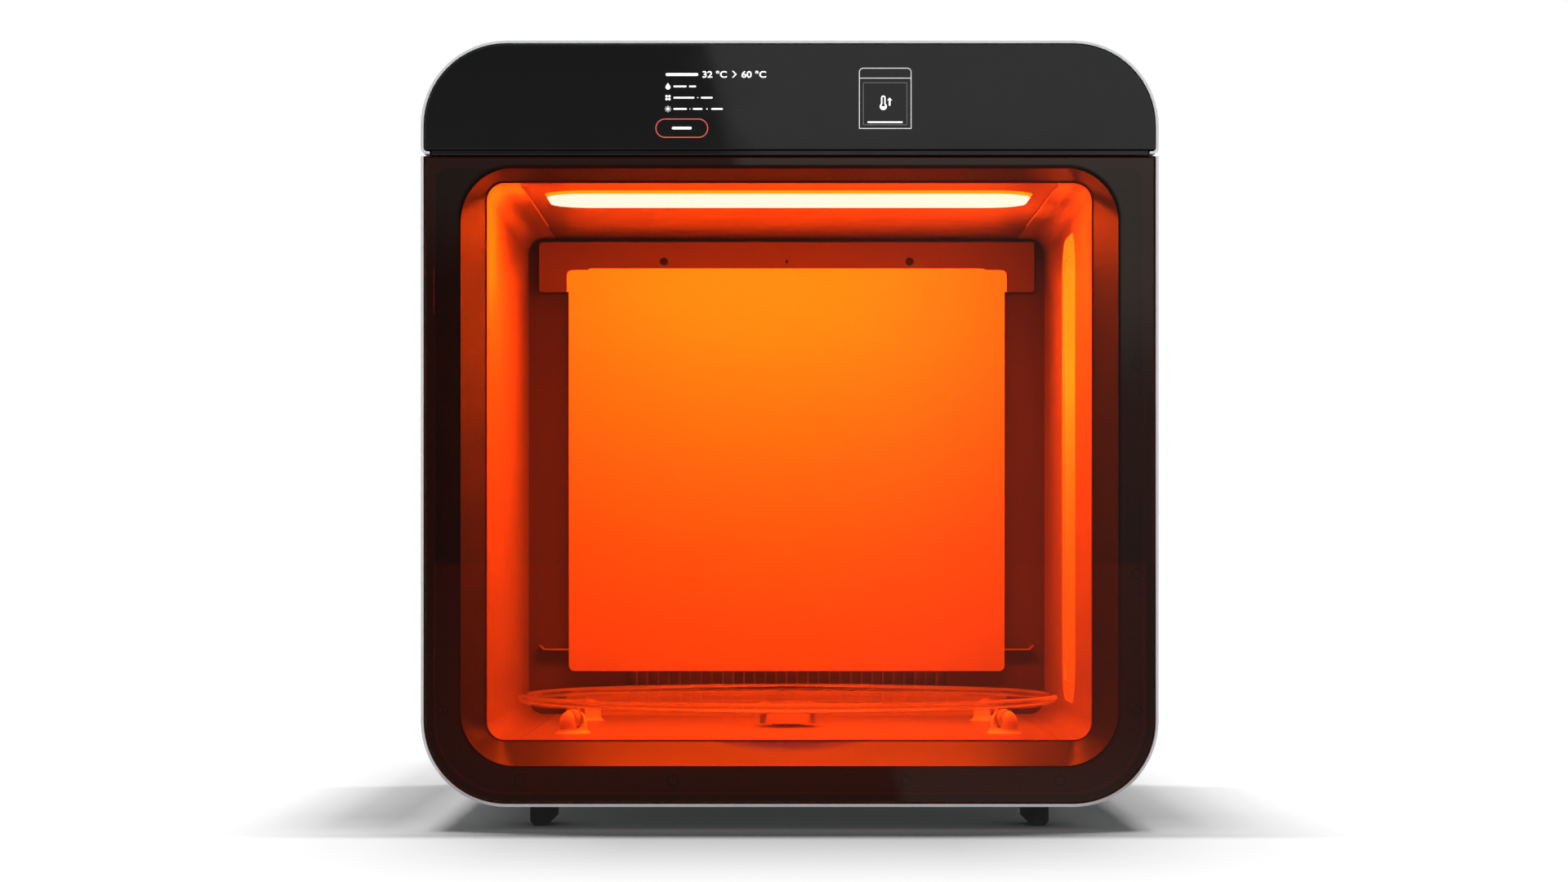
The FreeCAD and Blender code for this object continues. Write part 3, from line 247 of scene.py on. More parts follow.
def moulded(name, colour, roughness, swing=0.08, grain=1800.0, height=0.04 * MM, wear=0.06):
    """Moulded plastic with a spark-eroded grain."""
    finish = Finish(name)
    finish.colour(finish.tones(finish.noise(scale=14.0), *around(colour, swing)))
    finish.gloss(finish.noise(scale=60.0, detail=5.0), roughness - wear, roughness + wear)
    return finish.relief(finish.cells(grain), height)


def brushed(name, colour, roughness, stretch, swing=0.12, metallic=1.0, wear=0.07):
    """Metal with fine lines along the axis whose stretch is small."""
    finish = Finish(name).set(Metallic=metallic)
    lines = finish.noise(scale=900.0, detail=4.0, vector=finish.stretched(stretch))
    finish.colour(finish.tones(lines, *around(colour, swing)))
    finish.gloss(lines, roughness - wear, roughness + wear)
    return finish.relief(lines, 0.02 * MM)


def amber_glass():
    """Body-tinted light filter; clean and polished, with the faintest drift of tint."""
    finish = Finish("amber_glass").set(Roughness=0.0, IOR=1.5, Transmission_Weight=1.0)
    finish.set(Specular_Tint=(1.0, 1.0, 0.85, 1.0))
    return finish.colour(finish.tones(finish.noise(scale=3.0), (0.985, 0.046, 0.0005), (1.0, 0.048, 0.0006)))


def clear_glass(name, alpha):
    """Clear glass with a faint body colour and light wipe marks."""
    finish = Finish(name).set(IOR=1.5, Transmission_Weight=1.0, Alpha=alpha)
    finish.colour(finish.tones(finish.noise(scale=5.0), (0.90, 0.95, 0.93), (0.93, 0.97, 0.95)))
    return finish.gloss(finish.noise(scale=25.0, detail=6.0), 0.0, 0.05, 0.45, 0.75)


def console_glass():
    """Back-printed black glass under a polished face."""
    finish = Finish("console_black").set(IOR=1.5)
    finish.colour(finish.tones(finish.noise(scale=7.0), (0.0022, 0.0022, 0.0023), (0.0030, 0.0030, 0.0032)))
    return finish.gloss(finish.noise(scale=30.0, detail=6.0), 0.02, 0.06)


def lit_lens(name, strength, tone):
    """Frosted, softly ribbed diffuser lit from behind."""
    finish = Finish(name).set(IOR=1.5, Emission_Strength=strength, Emission_Color=LAMP_WARM)
    finish.colour(finish.tones(finish.noise(scale=30.0), *around((tone, tone, 0.98 * tone), 0.05)))
    finish.gloss(finish.noise(scale=200.0), 0.28, 0.38)
    return finish.relief(finish.cells(900.0), 0.08 * MM)


def circuit_green():
    """Solder mask with copper tracks that show through it."""
    finish = Finish("circuit_green").set(Specular_IOR_Level=0.5)
    tracks = finish.nodes.new("ShaderNodeTexBrick")
    tracks.inputs["Scale"].default_value = 220.0
    tracks.inputs["Mortar Size"].default_value = 0.03
    tracks.inputs["Color1"].default_value = (0.010, 0.075, 0.035, 1.0)
    tracks.inputs["Color2"].default_value = (0.012, 0.090, 0.042, 1.0)
    tracks.inputs["Mortar"].default_value = (0.030, 0.160, 0.070, 1.0)
    finish.links.new(finish.place, tracks.inputs["Vector"])
    finish.colour(tracks.outputs["Color"])
    finish.gloss(finish.noise(scale=150.0), 0.25, 0.40)
    return finish.relief(tracks.outputs["Fac"], 0.04 * MM)


def glowing(name, colour, strength):
    """Lit display mark with a fine pixel grid."""
    finish = Finish(name).set(Emission_Strength=strength, Emission_Color=(*colour, 1.0))
    finish.colour(finish.tones(finish.cells(3000.0), *around([0.8 * c for c in colour], 0.1)))
    return finish.gloss(finish.noise(scale=500.0), 0.35, 0.45)


# One finish for each material slot of the record.
FINISHES = {finish.name: finish for finish in (
    coated("casing_silver", (0.64, 0.65, 0.66), 0.36, swing=0.012, metallic=0.45),
    coated("rear_panel", (0.115, 0.118, 0.122), 0.55, swing=0.04, grain=1500.0, height=0.09 * MM),
    brushed("screw_steel", grey(0.016), 0.42, EVERY_WAY, swing=0.3, metallic=0.3),
    moulded("rubber_black", grey(0.012), 0.78, swing=0.15, grain=2400.0, height=0.06 * MM),
    brushed("sheet_steel", (0.55, 0.56, 0.57), 0.36, (0.04, 1.0, 1.0)),
    console_glass(),
    moulded("moulded_black", (0.022, 0.022, 0.024), 0.48),
    # The door frame glows faintly red: painted light that stands in for light scattered in the amber glass.
    moulded("door_frame_black", grey(0.002), 0.70).set(
        Specular_IOR_Level=0.0, Emission_Color=(1.0, 0.35, 0.25, 1.0), Emission_Strength=0.011),
    moulded("display_panel", (0.012, 0.012, 0.013), 0.20, grain=3000.0, height=0.005 * MM),
    # The fascia is lighter towards its foot and darker towards its top: painted light for the floor's light
    # that reaches it through the door glass.
    painted_falloff("fascia_black", "Z", 0.07, 0.24, (0.0155, 0.015, 0.012), (0.0095, 0.0105, 0.0105), 0.62),
    coated("funnel_grey", (0.006, 0.010, 0.010), 0.30, height=0.0, specular=0.45, wear=0.005).set(
        Specular_Tint=(0.66, 1.0, 1.0, 1.0)),
    coated("chamber_white", grey(0.40), 0.38, swing=0.02, height=0.02 * MM),
    coated("rear_wall_grey", grey(0.10), 0.45),
    coated("reflector_white", (0.38, 0.38, 0.376), 0.45, swing=0.01, grain=1500.0, height=0.01 * MM),
    moulded("roller_plastic", (0.80, 0.80, 0.78), 0.40, swing=0.02, grain=2500.0, height=0.02 * MM),
    moulded("roller_grey", grey(0.45), 0.50, swing=0.05),
    clear_glass("turntable_clear", alpha=0.28),
    moulded("hub_grey", (0.55, 0.55, 0.56), 0.42, swing=0.05),
    brushed("bearing_bronze", (0.55, 0.36, 0.16), 0.30, (1.0, 1.0, 0.1)),
    coated("motor_dark", (0.05, 0.05, 0.053), 0.42, swing=0.1),
    amber_glass(),
    brushed("heater_aluminium", (0.72, 0.72, 0.73), 0.36, (0.05, 1.0, 1.0)),
    circuit_green(),
    lit_lens("lamp_lens", strength=8.0, tone=0.76),
    lit_lens("side_lens", strength=0.45, tone=0.5),
)}

# CAD nodes that look different from the other nodes of their slot.
OWN_FINISHES = {
    # The ceiling is painted darker towards the rear: painted shade where the lamp's light falls off.
    "chamber_ceiling": painted_falloff("ceiling_painted_shade", "Y", -0.10, 0.14, grey(0.46), grey(0.12), 0.38).set(
        Specular_IOR_Level=0.15),
    # The left liner is painted slightly darker towards the rear: painted shade.
    "chamber_left_liner": painted_falloff("left_liner_painted_shade", "Y", -0.20, 0.24, grey(0.385), grey(0.34), 0.38),
    "bracket_screws": brushed("bracket_screw", grey(0.05), 0.42, EVERY_WAY, swing=0.3, metallic=0.3),
    "turntable_bead": clear_glass("turntable_bead", alpha=0.8),
}


def dress(piece, finish):
    """Gives a piece one finish."""
    piece.data.materials.clear()
    piece.data.materials.append(finish.material)


for row in frame["record"]["subparts"]:
    dress(NODES[row["node"]], OWN_FINISHES.get(row["node"], FINISHES[row["material_slot"]]))


# ------------------------------------------------------------------ rounded edges on CAD nodes
WELD_DISTANCE = 1e-6
SHARP_ANGLE = 38
EDGE_SEGMENTS = 2


def soften(width, *names):
    """Small rounded edges on CAD nodes, which import with split vertices."""
    for name in names:
        node = NODES[name]
        weld = node.modifiers.new("weld", "WELD")
        weld.merge_threshold = WELD_DISTANCE
        bevel = node.modifiers.new("bevel", "BEVEL")
        bevel.width = width
        bevel.segments = EDGE_SEGMENTS
        bevel.limit_method = "ANGLE"
        bevel.angle_limit = math.radians(SHARP_ANGLE)
        bevel.use_clamp_overlap = True
        normals = node.modifiers.new("normals", "WEIGHTED_NORMAL")
        normals.keep_sharp = False


soften(0.5 * MM, "upper_shell", "lower_shell", "door_rim", "feet")
soften(0.4 * MM, "rear_reflector", "reflector_bracket", "power_inlet", "roller_housings")


# ------------------------------------------------------------------ mesh helpers
JOIN_DISTANCE = 1e-7
ROUND_END = 0.999


def add_piece(name, mesh, slot, body, *nodes, finish=None):
    """Links a mesh as a finished piece that rides on a body and may stand for CAD nodes."""
    piece = bpy.data.objects.new(name, mesh)
    scene.collection.objects.link(piece)
    dress(piece, finish or FINISHES[slot])
    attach(piece, body)
    if nodes:
        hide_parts(*nodes)


def add_staged(name, mesh, finish, hidden_from):
    """Links a mesh that is not part of the object, hidden from some kinds of ray."""
    staged = bpy.data.objects.new(name, mesh)
    scene.collection.objects.link(staged)
    dress(staged, finish)
    for kind in hidden_from:
        setattr(staged, "visible_" + kind, False)
    return staged


def mesh_from(form, name):
    """Turns a bmesh into a mesh and frees it."""
    mesh = bpy.data.meshes.new(name)
    form.to_mesh(mesh)
    form.free()
    return mesh


def joined(meshes):
    """One mesh from several, welded where they meet."""
    form = bmesh.new()
    for mesh in meshes:
        form.from_mesh(mesh)
    bmesh.ops.remove_doubles(form, verts=form.verts, dist=JOIN_DISTANCE)
    return mesh_from(form, "joined")


def skin(form, pairs):
    """Faces between the two rings of vertices of each pair, closed around."""
    for near, far in pairs:
        for i in range(len(near)):
            j = (i + 1) % len(near)
            form.faces.new((near[i], near[j], far[j], far[i]))


def tube_rings(rings, name):
    """Closed skin through rings of equal point counts, its first and last ring filled."""
    form = bmesh.new()
    verts = [[form.verts.new(point) for point in ring] for ring in rings]
    skin(form, zip(verts, verts[1:]))
    form.faces.new(verts[0][::-1])
    form.faces.new(verts[-1])
    bmesh.ops.recalc_face_normals(form, faces=form.faces)
    return mesh_from(form, name)


def lathe(profile, segments=48):
    """Closed ring from (radius, y) points turned about the Y axis."""
    form = bmesh.new()
    turns = [math.tau * step / segments for step in range(segments)]
    rings = [[form.verts.new((radius * math.cos(turn), y, radius * math.sin(turn))) for turn in turns]
             for radius, y in profile]
    skin(form, zip(rings, rings[1:] + rings[:1]))
    bmesh.ops.recalc_face_normals(form, faces=form.faces)
    return mesh_from(form, "lathe")


def curve_mesh(curve, thickness):
    """Turns a filled flat curve into a standing mesh whose front is at y = 0."""
    holder = bpy.data.objects.new("holder", curve)
    mesh = bpy.data.meshes.new_from_object(holder)
    bpy.data.objects.remove(holder)
    mesh.transform(Matrix.Translation((0, thickness / 2, 0)) @ Matrix.Rotation(math.radians(90), 4, "X"))
    return mesh


def flat_mesh(loops, thickness):
    """Solid from closed (x, z) loops, its front at y = 0; a loop inside another is a hole."""
    curve = bpy.data.curves.new("loops", "CURVE")
    curve.dimensions = "2D"
    curve.fill_mode = "BOTH"
    curve.extrude = thickness / 2
    for loop in loops:
        spline = curve.splines.new("POLY")
        spline.points.add(len(loop) - 1)
        for point, (x, z) in zip(spline.points, loop):
            point.co = (x, z, 0.0, 1.0)
        spline.use_cyclic_u = True
    return curve_mesh(curve, thickness)


def arc(x, z, radius, start, end, steps=16):
    """Points along an arc, angles in degrees."""
    turns = [math.radians(start + (end - start) * step / steps) for step in range(steps + 1)]
    return [(x + radius * math.cos(turn), z + radius * math.sin(turn)) for turn in turns]


def disc(x, z, radius, points=20):
    """Round outline."""
    return arc(x, z, radius, 0, 360 - 360 / points, points - 1)


def rounded_box(left, right, low, high, low_radius, high_radius=None, steps=12):
    """Rounded rectangle as (x, z) points; its upper corners may have a radius of their own."""
    top_radius = low_radius if high_radius is None else high_radius
    loop = arc(left + low_radius, low + low_radius, low_radius, 180, 270, steps)
    loop += arc(right - low_radius, low + low_radius, low_radius, 270, 360, steps)
    loop += arc(right - top_radius, high - top_radius, top_radius, 0, 90, steps)
    return loop + arc(left + top_radius, high - top_radius, top_radius, 90, 180, steps)


def bar(left, right, middle, height):
    """Bar with round ends, just under half its height in radius, so that no two points coincide."""
    return rounded_box(left, right, middle - height / 2, middle + height / 2, height / 2 * ROUND_END, steps=8)


# ------------------------------------------------------------------ console glass
CORNER_RADIUS = 63.3 * MM
CORNER_STEPS = 24
CONSOLE_FOOT_RADIUS = 2.0 * MM
# Outlines of the console glass from its face backwards: (inset, depth behind the face), in millimetres.
CONSOLE_EDGE = ((1.0, 0.0), (0.4, 0.25), (0.0, 1.0))

console_low, console_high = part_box("console_glass")
GLASS_FACE = console_low.y + 0.14 * MM


def console_ring(inset, y):
    """Outline of the console glass, drawn in by an inset, at one depth."""
    loop = rounded_box(console_low.x + inset, console_high.x - inset,
                       console_low.z + inset, console_high.z - inset,
                       CONSOLE_FOOT_RADIUS - inset, CORNER_RADIUS - inset, CORNER_STEPS)
    return [(x, y, z) for x, z in loop]


console_rings = [console_ring(inset * MM, GLASS_FACE + depth * MM) for inset, depth in CONSOLE_EDGE]
console_rings.append(console_ring(0.0, console_high.y))
add_piece("console_glass_panel", tube_rings(console_rings, "console_glass_panel"),
          "console_black", "cabinet", "console_glass")

# ------------------------------------------------------------------ strip in the split under the console
SPLIT_DEPTH = 5.0 * MM
SPLIT_CHAMFER = 0.2 * MM
SPLIT_FRONT = console_low.y + 1.0 * MM
SPLIT_BASE = console_low.z - 3.9 * MM
SPLIT_TOP = console_low.z - 0.2 * MM
SPLIT_ENDS = (console_low.x + 5.5 * MM, console_high.x - 5.5 * MM)


def split_ring(x):
    """Upright outline of the strip at one x, with chamfers at its front."""
    base, top = SPLIT_BASE + SPLIT_CHAMFER, SPLIT_TOP - SPLIT_CHAMFER
    face_base, face_top = SPLIT_BASE + 3 * SPLIT_CHAMFER, SPLIT_TOP - 3 * SPLIT_CHAMFER
    shoulder, back = SPLIT_FRONT + SPLIT_CHAMFER, SPLIT_FRONT + SPLIT_DEPTH
    return [(x, shoulder, base), (x, back, base), (x, back, top), (x, shoulder, top),
            (x, SPLIT_FRONT, face_top), (x, SPLIT_FRONT, face_base)]


add_piece("split_strip", tube_rings([split_ring(x) for x in SPLIT_ENDS], "split_strip"),
          "moulded_black", "cabinet", finish=FINISHES["console_black"])

# ------------------------------------------------------------------ seal around the door glass
SEAL_OUTER = 0.42 * MM
SEAL_INNER = 0.02 * MM
SEAL_THICKNESS = 4.5 * MM
SEAL_SETBACK = 2.7 * MM
SEAL_TOP_GAP = 0.2 * MM

door_low, door_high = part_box("door_glass")


def around_glass(grow):
    """Path down one side of the door glass, around its foot and up the other side, (x, z)."""
    radius = CORNER_RADIUS + grow
    left, right = door_low.x - grow, door_high.x + grow
    base, top = door_low.z - grow, door_high.z - SEAL_TOP_GAP
    path = [(left, top)] + arc(left + radius, base + radius, radius, 180, 270, CORNER_STEPS)
    return path + arc(right - radius, base + radius, radius, 270, 360, CORNER_STEPS) + [(right, top)]


band = flat_mesh([around_glass(SEAL_OUTER) + around_glass(SEAL_INNER)[::-1]], SEAL_THICKNESS)
band.transform(Matrix.Translation((0, door_low.y + SEAL_SETBACK, 0)))
add_piece("glass_edge_seal", band, "rubber_black", "door")

# ------------------------------------------------------------------ marks on the display
MARK_DEPTH = 0.06 * MM
# The marks' sizes and places are in millimetres, from the display's middle.
NUMERAL_WEIGHT = 0.018
NUMERAL_BASE, NUMERAL_HEIGHT = 19.1, 5.4
ICON_X = -94.0
ROWS = (12.4, 3.7, -5.0)
ROW_BARS = (((-89.8, -79.6), (-77.8, -72.3)), ((-89.8, -73.6), (-71.4, -70.6), (-68.6, -59.5)),
            ((-89.8, -79.4), (-77.4, -76.6), (-74.8, -67.4), (-60.6, -51.6)))
ROW_BAR_HEIGHT = 1.3
ROW_DOT_X = -63.9
THERMOMETER_X = 72.3
RISING_ARROW_X = 77.2
LEAST_RADIUS = 0.05
# Bars as (left, right, middle, height).
HEADING_BAR = (-95.8, -70.6, 21.6, 2.2)
BUTTON_BAR = (-91.0, -75.7, -19.8, 2.0)
DRAWING_BAR = (60.1, 87.3, -15.2, 1.2)
ROOF_LINE = (53.9, 93.7, 18.8, 0.65)
# Outlines as (left, right, low, high, lower corners' radius, upper corners' radius, line width).
CABINET_FRAME = (53.5, 94.1, -20.4, 26.8, 0.5, 3.3, 0.65)
WINDOW_FRAME = (56.6, 90.8, -17.5, 15.5, 0.4, 0.4, 0.5)
BUTTON_FRAME = (-103.7, -62.9, -27.3, -12.4, 7.4, 7.4, 0.8)


def flat_mark(*loops):
    """Flat mark from loops in millimetres about the display's middle."""
    return flat_mesh([[(x * MM, z * MM) for x, z in loop] for loop in loops], MARK_DEPTH)


def numerals(text, left, right):
    """Bold figures set between two x values."""
    font = bpy.data.curves.new("numerals", "FONT")
    font.body = text
    font.offset = NUMERAL_WEIGHT
    font.extrude = MARK_DEPTH / 2
    mesh = curve_mesh(font, MARK_DEPTH)
    xs = [vertex.co.x for vertex in mesh.vertices]
    zs = [vertex.co.z for vertex in mesh.vertices]
    wide = (right - left) * MM / (max(xs) - min(xs))
    tall = NUMERAL_HEIGHT * MM / (max(zs) - min(zs))
    shift = Matrix.Translation((left * MM - min(xs) * wide, 0, NUMERAL_BASE * MM - min(zs) * tall))
    mesh.transform(shift @ Matrix.Diagonal((wide, 1, tall, 1)))
    return mesh


def frame_mark(left, right, low, high, low_radius, high_radius, width):
    """Outline of a rounded box, drawn inwards with this line width."""
    inner = rounded_box(left + width, right - width, low + width, high - width,
                        max(low_radius - width, LEAST_RADIUS), max(high_radius - width, LEAST_RADIUS))
    return flat_mark(rounded_box(left, right, low, high, low_radius, high_radius), inner)


def chevron(left, middle):
    """Arrow head that points right."""
    half = 2.6
    return [(left, middle + half), (left + 1.1, middle + half), (left + 3.7, middle),
            (left + 1.1, middle - half), (left, middle - half), (left + 2.4, middle)]


def drop(x, z):
    """Water drop."""
    return [(x, z + 2.6)] + arc(x, z - 0.5, 1.9, 35, -215, 20)


def petal(x, z, turn, reach=1.55, radius=0.95):
    """One blade of the fan mark."""
    return disc(x + reach * math.cos(turn), z + reach * math.sin(turn), radius)


def ray(x, z, turn, start=1.6, end=2.5, half_width=0.2):
    """One ray of the sun mark."""
    along = Vector((math.cos(turn), math.sin(turn)))
    side = Vector((-along.y, along.x)) * half_width
    middle = Vector((x, z))
    corners = (middle + along * start - side, middle + along * end - side,
               middle + along * end + side, middle + along * start + side)
    return [tuple(corner) for corner in corners]


def thermometer(x):
    """Outline of a thermometer and the empty part of its tube."""
    outline = arc(x, -3.1, 2.75, 129.5, 410.5, 30) + arc(x, 3.65, 1.75, 0, 180, 12)
    tube = arc(x, 3.6, 0.75, 180, 0, 8)
    tube += [(x + 0.75, -1.2), (x + 1.7, -3.0), (x - 1.7, -3.0), (x - 0.75, -1.2)]
    return outline, tube


def rising_arrow(x):
    """Arrow that points up."""
    shaft, head, neck = 0.625, 2.0, 1.6
    return [(x - shaft, -2.5), (x + shaft, -2.5), (x + shaft, neck), (x + head, neck), (x, 3.7),
            (x - head, neck), (x - shaft, neck)]


def white_marks():
    """Figures, icons and bars in place of words."""
    marks = [numerals("32 °C", -67.3, -48.5), numerals("60 °C", -37.2, -18.2)]
    marks.append(flat_mark(chevron(-44.6, 21.8)))
    marks.append(flat_mark(bar(*HEADING_BAR)))
    marks.append(flat_mark(drop(ICON_X, ROWS[0])))
    marks += [flat_mark(petal(ICON_X, ROWS[1], math.radians(45 + 90 * i))) for i in range(4)]
    marks += [flat_mark(ray(ICON_X, ROWS[2], math.radians(45 * i))) for i in range(8)]
    marks.append(flat_mark(disc(ICON_X, ROWS[2], 1.15)))
    marks.append(flat_mark(disc(ROW_DOT_X, ROWS[2], 0.55, points=12)))
    for middle, spans in zip(ROWS, ROW_BARS):
        marks += [flat_mark(bar(start, end, middle, min(ROW_BAR_HEIGHT, end - start)))
                  for start, end in spans]
    marks.append(flat_mark(bar(*BUTTON_BAR)))
    marks.append(flat_mark(bar(*DRAWING_BAR)))
    marks.append(flat_mark(*thermometer(THERMOMETER_X)))
    marks.append(flat_mark(rising_arrow(RISING_ARROW_X)))
    return marks


cabinet_outline = [frame_mark(*CABINET_FRAME), flat_mark(bar(*ROOF_LINE))]
# Piece, its marks, their colour and how strongly they glow.
DISPLAY_GROUPS = (
    ("display_marks", white_marks(), grey(1.0), 1.0),
    ("display_outline", cabinet_outline, grey(0.62), 0.8),
    ("display_inner_outline", [frame_mark(*WINDOW_FRAME)], grey(0.13), 0.8),
    ("display_button_ring", [frame_mark(*BUTTON_FRAME)], (0.62, 0.085, 0.06), 0.8),
)
display_low, display_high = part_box("touch_display")
display_middle = (display_low + display_high) / 2
for name, meshes, colour, strength in DISPLAY_GROUPS:
    marks_mesh = joined(meshes)
    marks_mesh.transform(Matrix.Translation((display_middle.x, GLASS_FACE - MARK_DEPTH, display_middle.z)))
    add_piece(name, marks_mesh, "display_panel", "cabinet", finish=glowing(name, colour, strength))

# ------------------------------------------------------------------ seam beads along the ceiling edges
SEAM_RADIUS = 0.7 * MM
SEAM_DROP = 0.72 * MM
SEAM_EDGE_GAP = 0.8 * MM
# Outlines along a bead: (y in metres, inset in millimetres), so its ends taper.
SEAM_OUTLINES = ((-0.2090, 0.4), (-0.2085, 0.0), (0.1095, 0.0), (0.1100, 0.4))

ceiling_low, ceiling_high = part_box("chamber_ceiling")


def seam_ring(x, y, inset):
    """Outline at one y, for a bead under a ceiling edge."""
    radius = SEAM_RADIUS - inset
    turns = [math.radians(45 * step) for step in range(8)]
    middle = ceiling_low.z - SEAM_DROP
    return [(x + radius * math.cos(turn), y, middle + radius * math.sin(turn)) for turn in turns]


seams = [tube_rings([seam_ring(x, y, inset * MM) for y, inset in SEAM_OUTLINES], "seam")
         for x in (ceiling_low.x + SEAM_EDGE_GAP, ceiling_high.x - SEAM_EDGE_GAP)]
# The beads are coated far whiter than the ceiling: partly their own white and partly a painted highlight for
# the lamp light that the ridges catch.
add_piece("ceiling_seam_beads", joined(seams), "chamber_white", "cabinet",
          finish=coated("seam_bead", grey(0.92), 0.5, swing=0.03))

# ------------------------------------------------------------------ rings around the fascia screws
# Section of a ring: (radius, y from the fascia's face), in millimetres.
RING_SECTION = ((3.1, 0.0), (3.1, -0.25), (3.25, -0.4), (4.5, -0.4), (4.65, -0.25), (4.65, 0.0))


def middle_of(values):
    """Half way between the least and the greatest."""
    return (min(values) + max(values)) / 2


def screw_places(node, reach=0.02):
    """Middle (x, z) of every screw of a node whose screws lie further apart than the reach."""
    screws = []
    for vertex in node.data.vertices:
        x, z = vertex.co.x, vertex.co.z
        near = [screw for screw in screws if abs(screw[0][0] - x) < reach and abs(screw[0][1] - z) < reach]
        if near:
            near[0].append((x, z))
        else:
            screws.append([(x, z)])
    return [tuple(middle_of(values) for values in zip(*screw)) for screw in screws]


fascia_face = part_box("front_fascia")[0].y
screw_rings = []
for x, z in screw_places(NODES["fascia_screws"]):
    ring = lathe([(radius * MM, y * MM) for radius, y in RING_SECTION])
    ring.transform(Matrix.Translation((x, fascia_face, z)))
    screw_rings.append(ring)
add_piece("fascia_screw_rings", joined(screw_rings), "screw_steel", "cabinet",
          finish=moulded("screw_ring", grey(0.0008), 0.7).set(Specular_IOR_Level=0.02))


# ------------------------------------------------------------------ lamps
def panel_light(name, place, turn, size, radiance):
    """Flat light of a given radiance. Turn is an Euler angle in degrees; unturned it shines down."""
    light = bpy.data.lights.new(name, "AREA")
    light.shape = "RECTANGLE"
    light.size, light.size_y = size
    light.energy = radiance * math.pi * size[0] * size[1]
    lamp = bpy.data.objects.new(name, light)
    scene.collection.objects.link(lamp)
    lamp.location = place
    lamp.rotation_euler = Euler([math.radians(angle) for angle in turn])
    lamp.visible_camera = False
    lamp.visible_transmission = False
    return lamp


def helper_light(name, place, turn, size, radiance, *nodes):
    """Soft light that falls on the named CAD nodes only and shows in no reflection."""
    lamp = panel_light(name, place, turn, size, radiance)
    lamp.visible_glossy = False
    chosen = bpy.data.collections.new(name)
    for node in nodes:
        chosen.objects.link(NODES[node])
    lamp.light_linking.receiver_collection = chosen


LIGHT_SIZE = (0.388, 0.122)
LIGHT_GAP = 0.6 * MM
CEILING_RADIANCE = 21.0
SIDE_RADIANCE = 0.7

lens_low, lens_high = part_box("ceiling_lamp_lens")
lens_middle = (lens_low + lens_high) / 2
panel_light("ceiling_light", (lens_middle.x, lens_middle.y, lens_low.z - LIGHT_GAP), (0, 0, 0), LIGHT_SIZE,
            CEILING_RADIANCE)

GLOW_STRENGTH = 1500.0
GLOW_DROP = 1.2 * MM
GLOW_SIDE_GAP = 0.8 * MM
GLOW_FRONT_GAP = 13.0 * MM
GLOW_REAR_GAP = 4.0 * MM
GLOW_RADIUS = 33.0 * MM


def glow_finish():
    """Far brighter than white in blue only, so that the lamp burns out to white through the amber glass."""
    finish = Finish("lamp_glow").set(Emission_Strength=GLOW_STRENGTH)
    blue = finish.tones(finish.noise(scale=3.0), (0.0139, 0.0139, 1.0), (0.0141, 0.0141, 1.0))
    finish.links.new(blue, finish.shader.inputs["Emission Color"])
    return finish


def add_glow_card():
    """Card over the ceiling lens that shows only through glass and lights nothing."""
    loop = rounded_box(lens_low.x + GLOW_SIDE_GAP, lens_high.x - GLOW_SIDE_GAP, lens_low.y + GLOW_FRONT_GAP,
                       lens_high.y - GLOW_REAR_GAP, GLOW_RADIUS)
    form = bmesh.new()
    form.faces.new([form.verts.new((x, y, lens_low.z - GLOW_DROP)) for x, y in loop])
    add_staged("lamp_glow", mesh_from(form, "lamp_glow"), glow_finish(),
               ("camera", "diffuse", "glossy", "shadow", "volume_scatter"))


add_glow_card()
side_low, side_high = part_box("side_lamp_lens")
side_middle = (side_low + side_high) / 2
side_light = panel_light("side_light", (side_low.x - LIGHT_GAP, side_middle.y, side_middle.z), (0, 90, 0),
                         LIGHT_SIZE, SIDE_RADIANCE)
side_light.visible_glossy = False

# Soft lights inside the chamber: name, place, turn in degrees, size, radiance, and the nodes they fall on.
CHAMBER_WASHES = (
    ("reflector_wash", (-0.04, -0.02, 0.48), (100, 0, 0), (0.46, 0.08), 150.0,
     ("rear_reflector", "lower_reflector")),
    ("bracket_wash", (-0.04, -0.02, 0.48), (100, 0, 0), (0.46, 0.08), 22.0, ("reflector_bracket",)),
    ("ceiling_wash", (0.0, -0.205, 0.42), (180, 0, 0), (0.40, 0.03), 5.5, ("chamber_ceiling",)),
    ("lens_wash", (0.07, -0.017, 0.47), (0, -90, 0), (0.08, 0.10), 430.0, ("side_lamp_lens",)),
    ("roller_wash", (0.0, -0.2, 0.40), (-15, 0, 0), (0.30, 0.30), 22.0,
     ("roller_housings", "roller_1", "roller_2", "roller_3", "roller_4", "turntable_hub")),
    ("left_corner_wash", (-0.17, -0.19, 0.46), (0, 100, 0), (0.03, 0.03), 310.0, ("chamber_left_liner",)),
    ("right_corner_wash", (0.17, -0.19, 0.46), (0, -100, 0), (0.03, 0.03), 70.0, ("chamber_right_liner",)),
)
for name, place, turn, size, radiance, nodes in CHAMBER_WASHES:
    helper_light(name, place, turn, size, radiance, *nodes)

# The turntable lets the lamps' light through, and it and the reflector add no bounced light.
for name in ("turntable_glass", "turntable_bead"):
    NODES[name].visible_shadow = False
for name in ("turntable_glass", "turntable_bead", "rear_reflector"):
    NODES[name].visible_diffuse = False

# ------------------------------------------------------------------ studio floor
scene.view_settings.view_transform = "Standard"

FLOOR_HALF = 30.0
FLOOR_SEGMENTS = 4
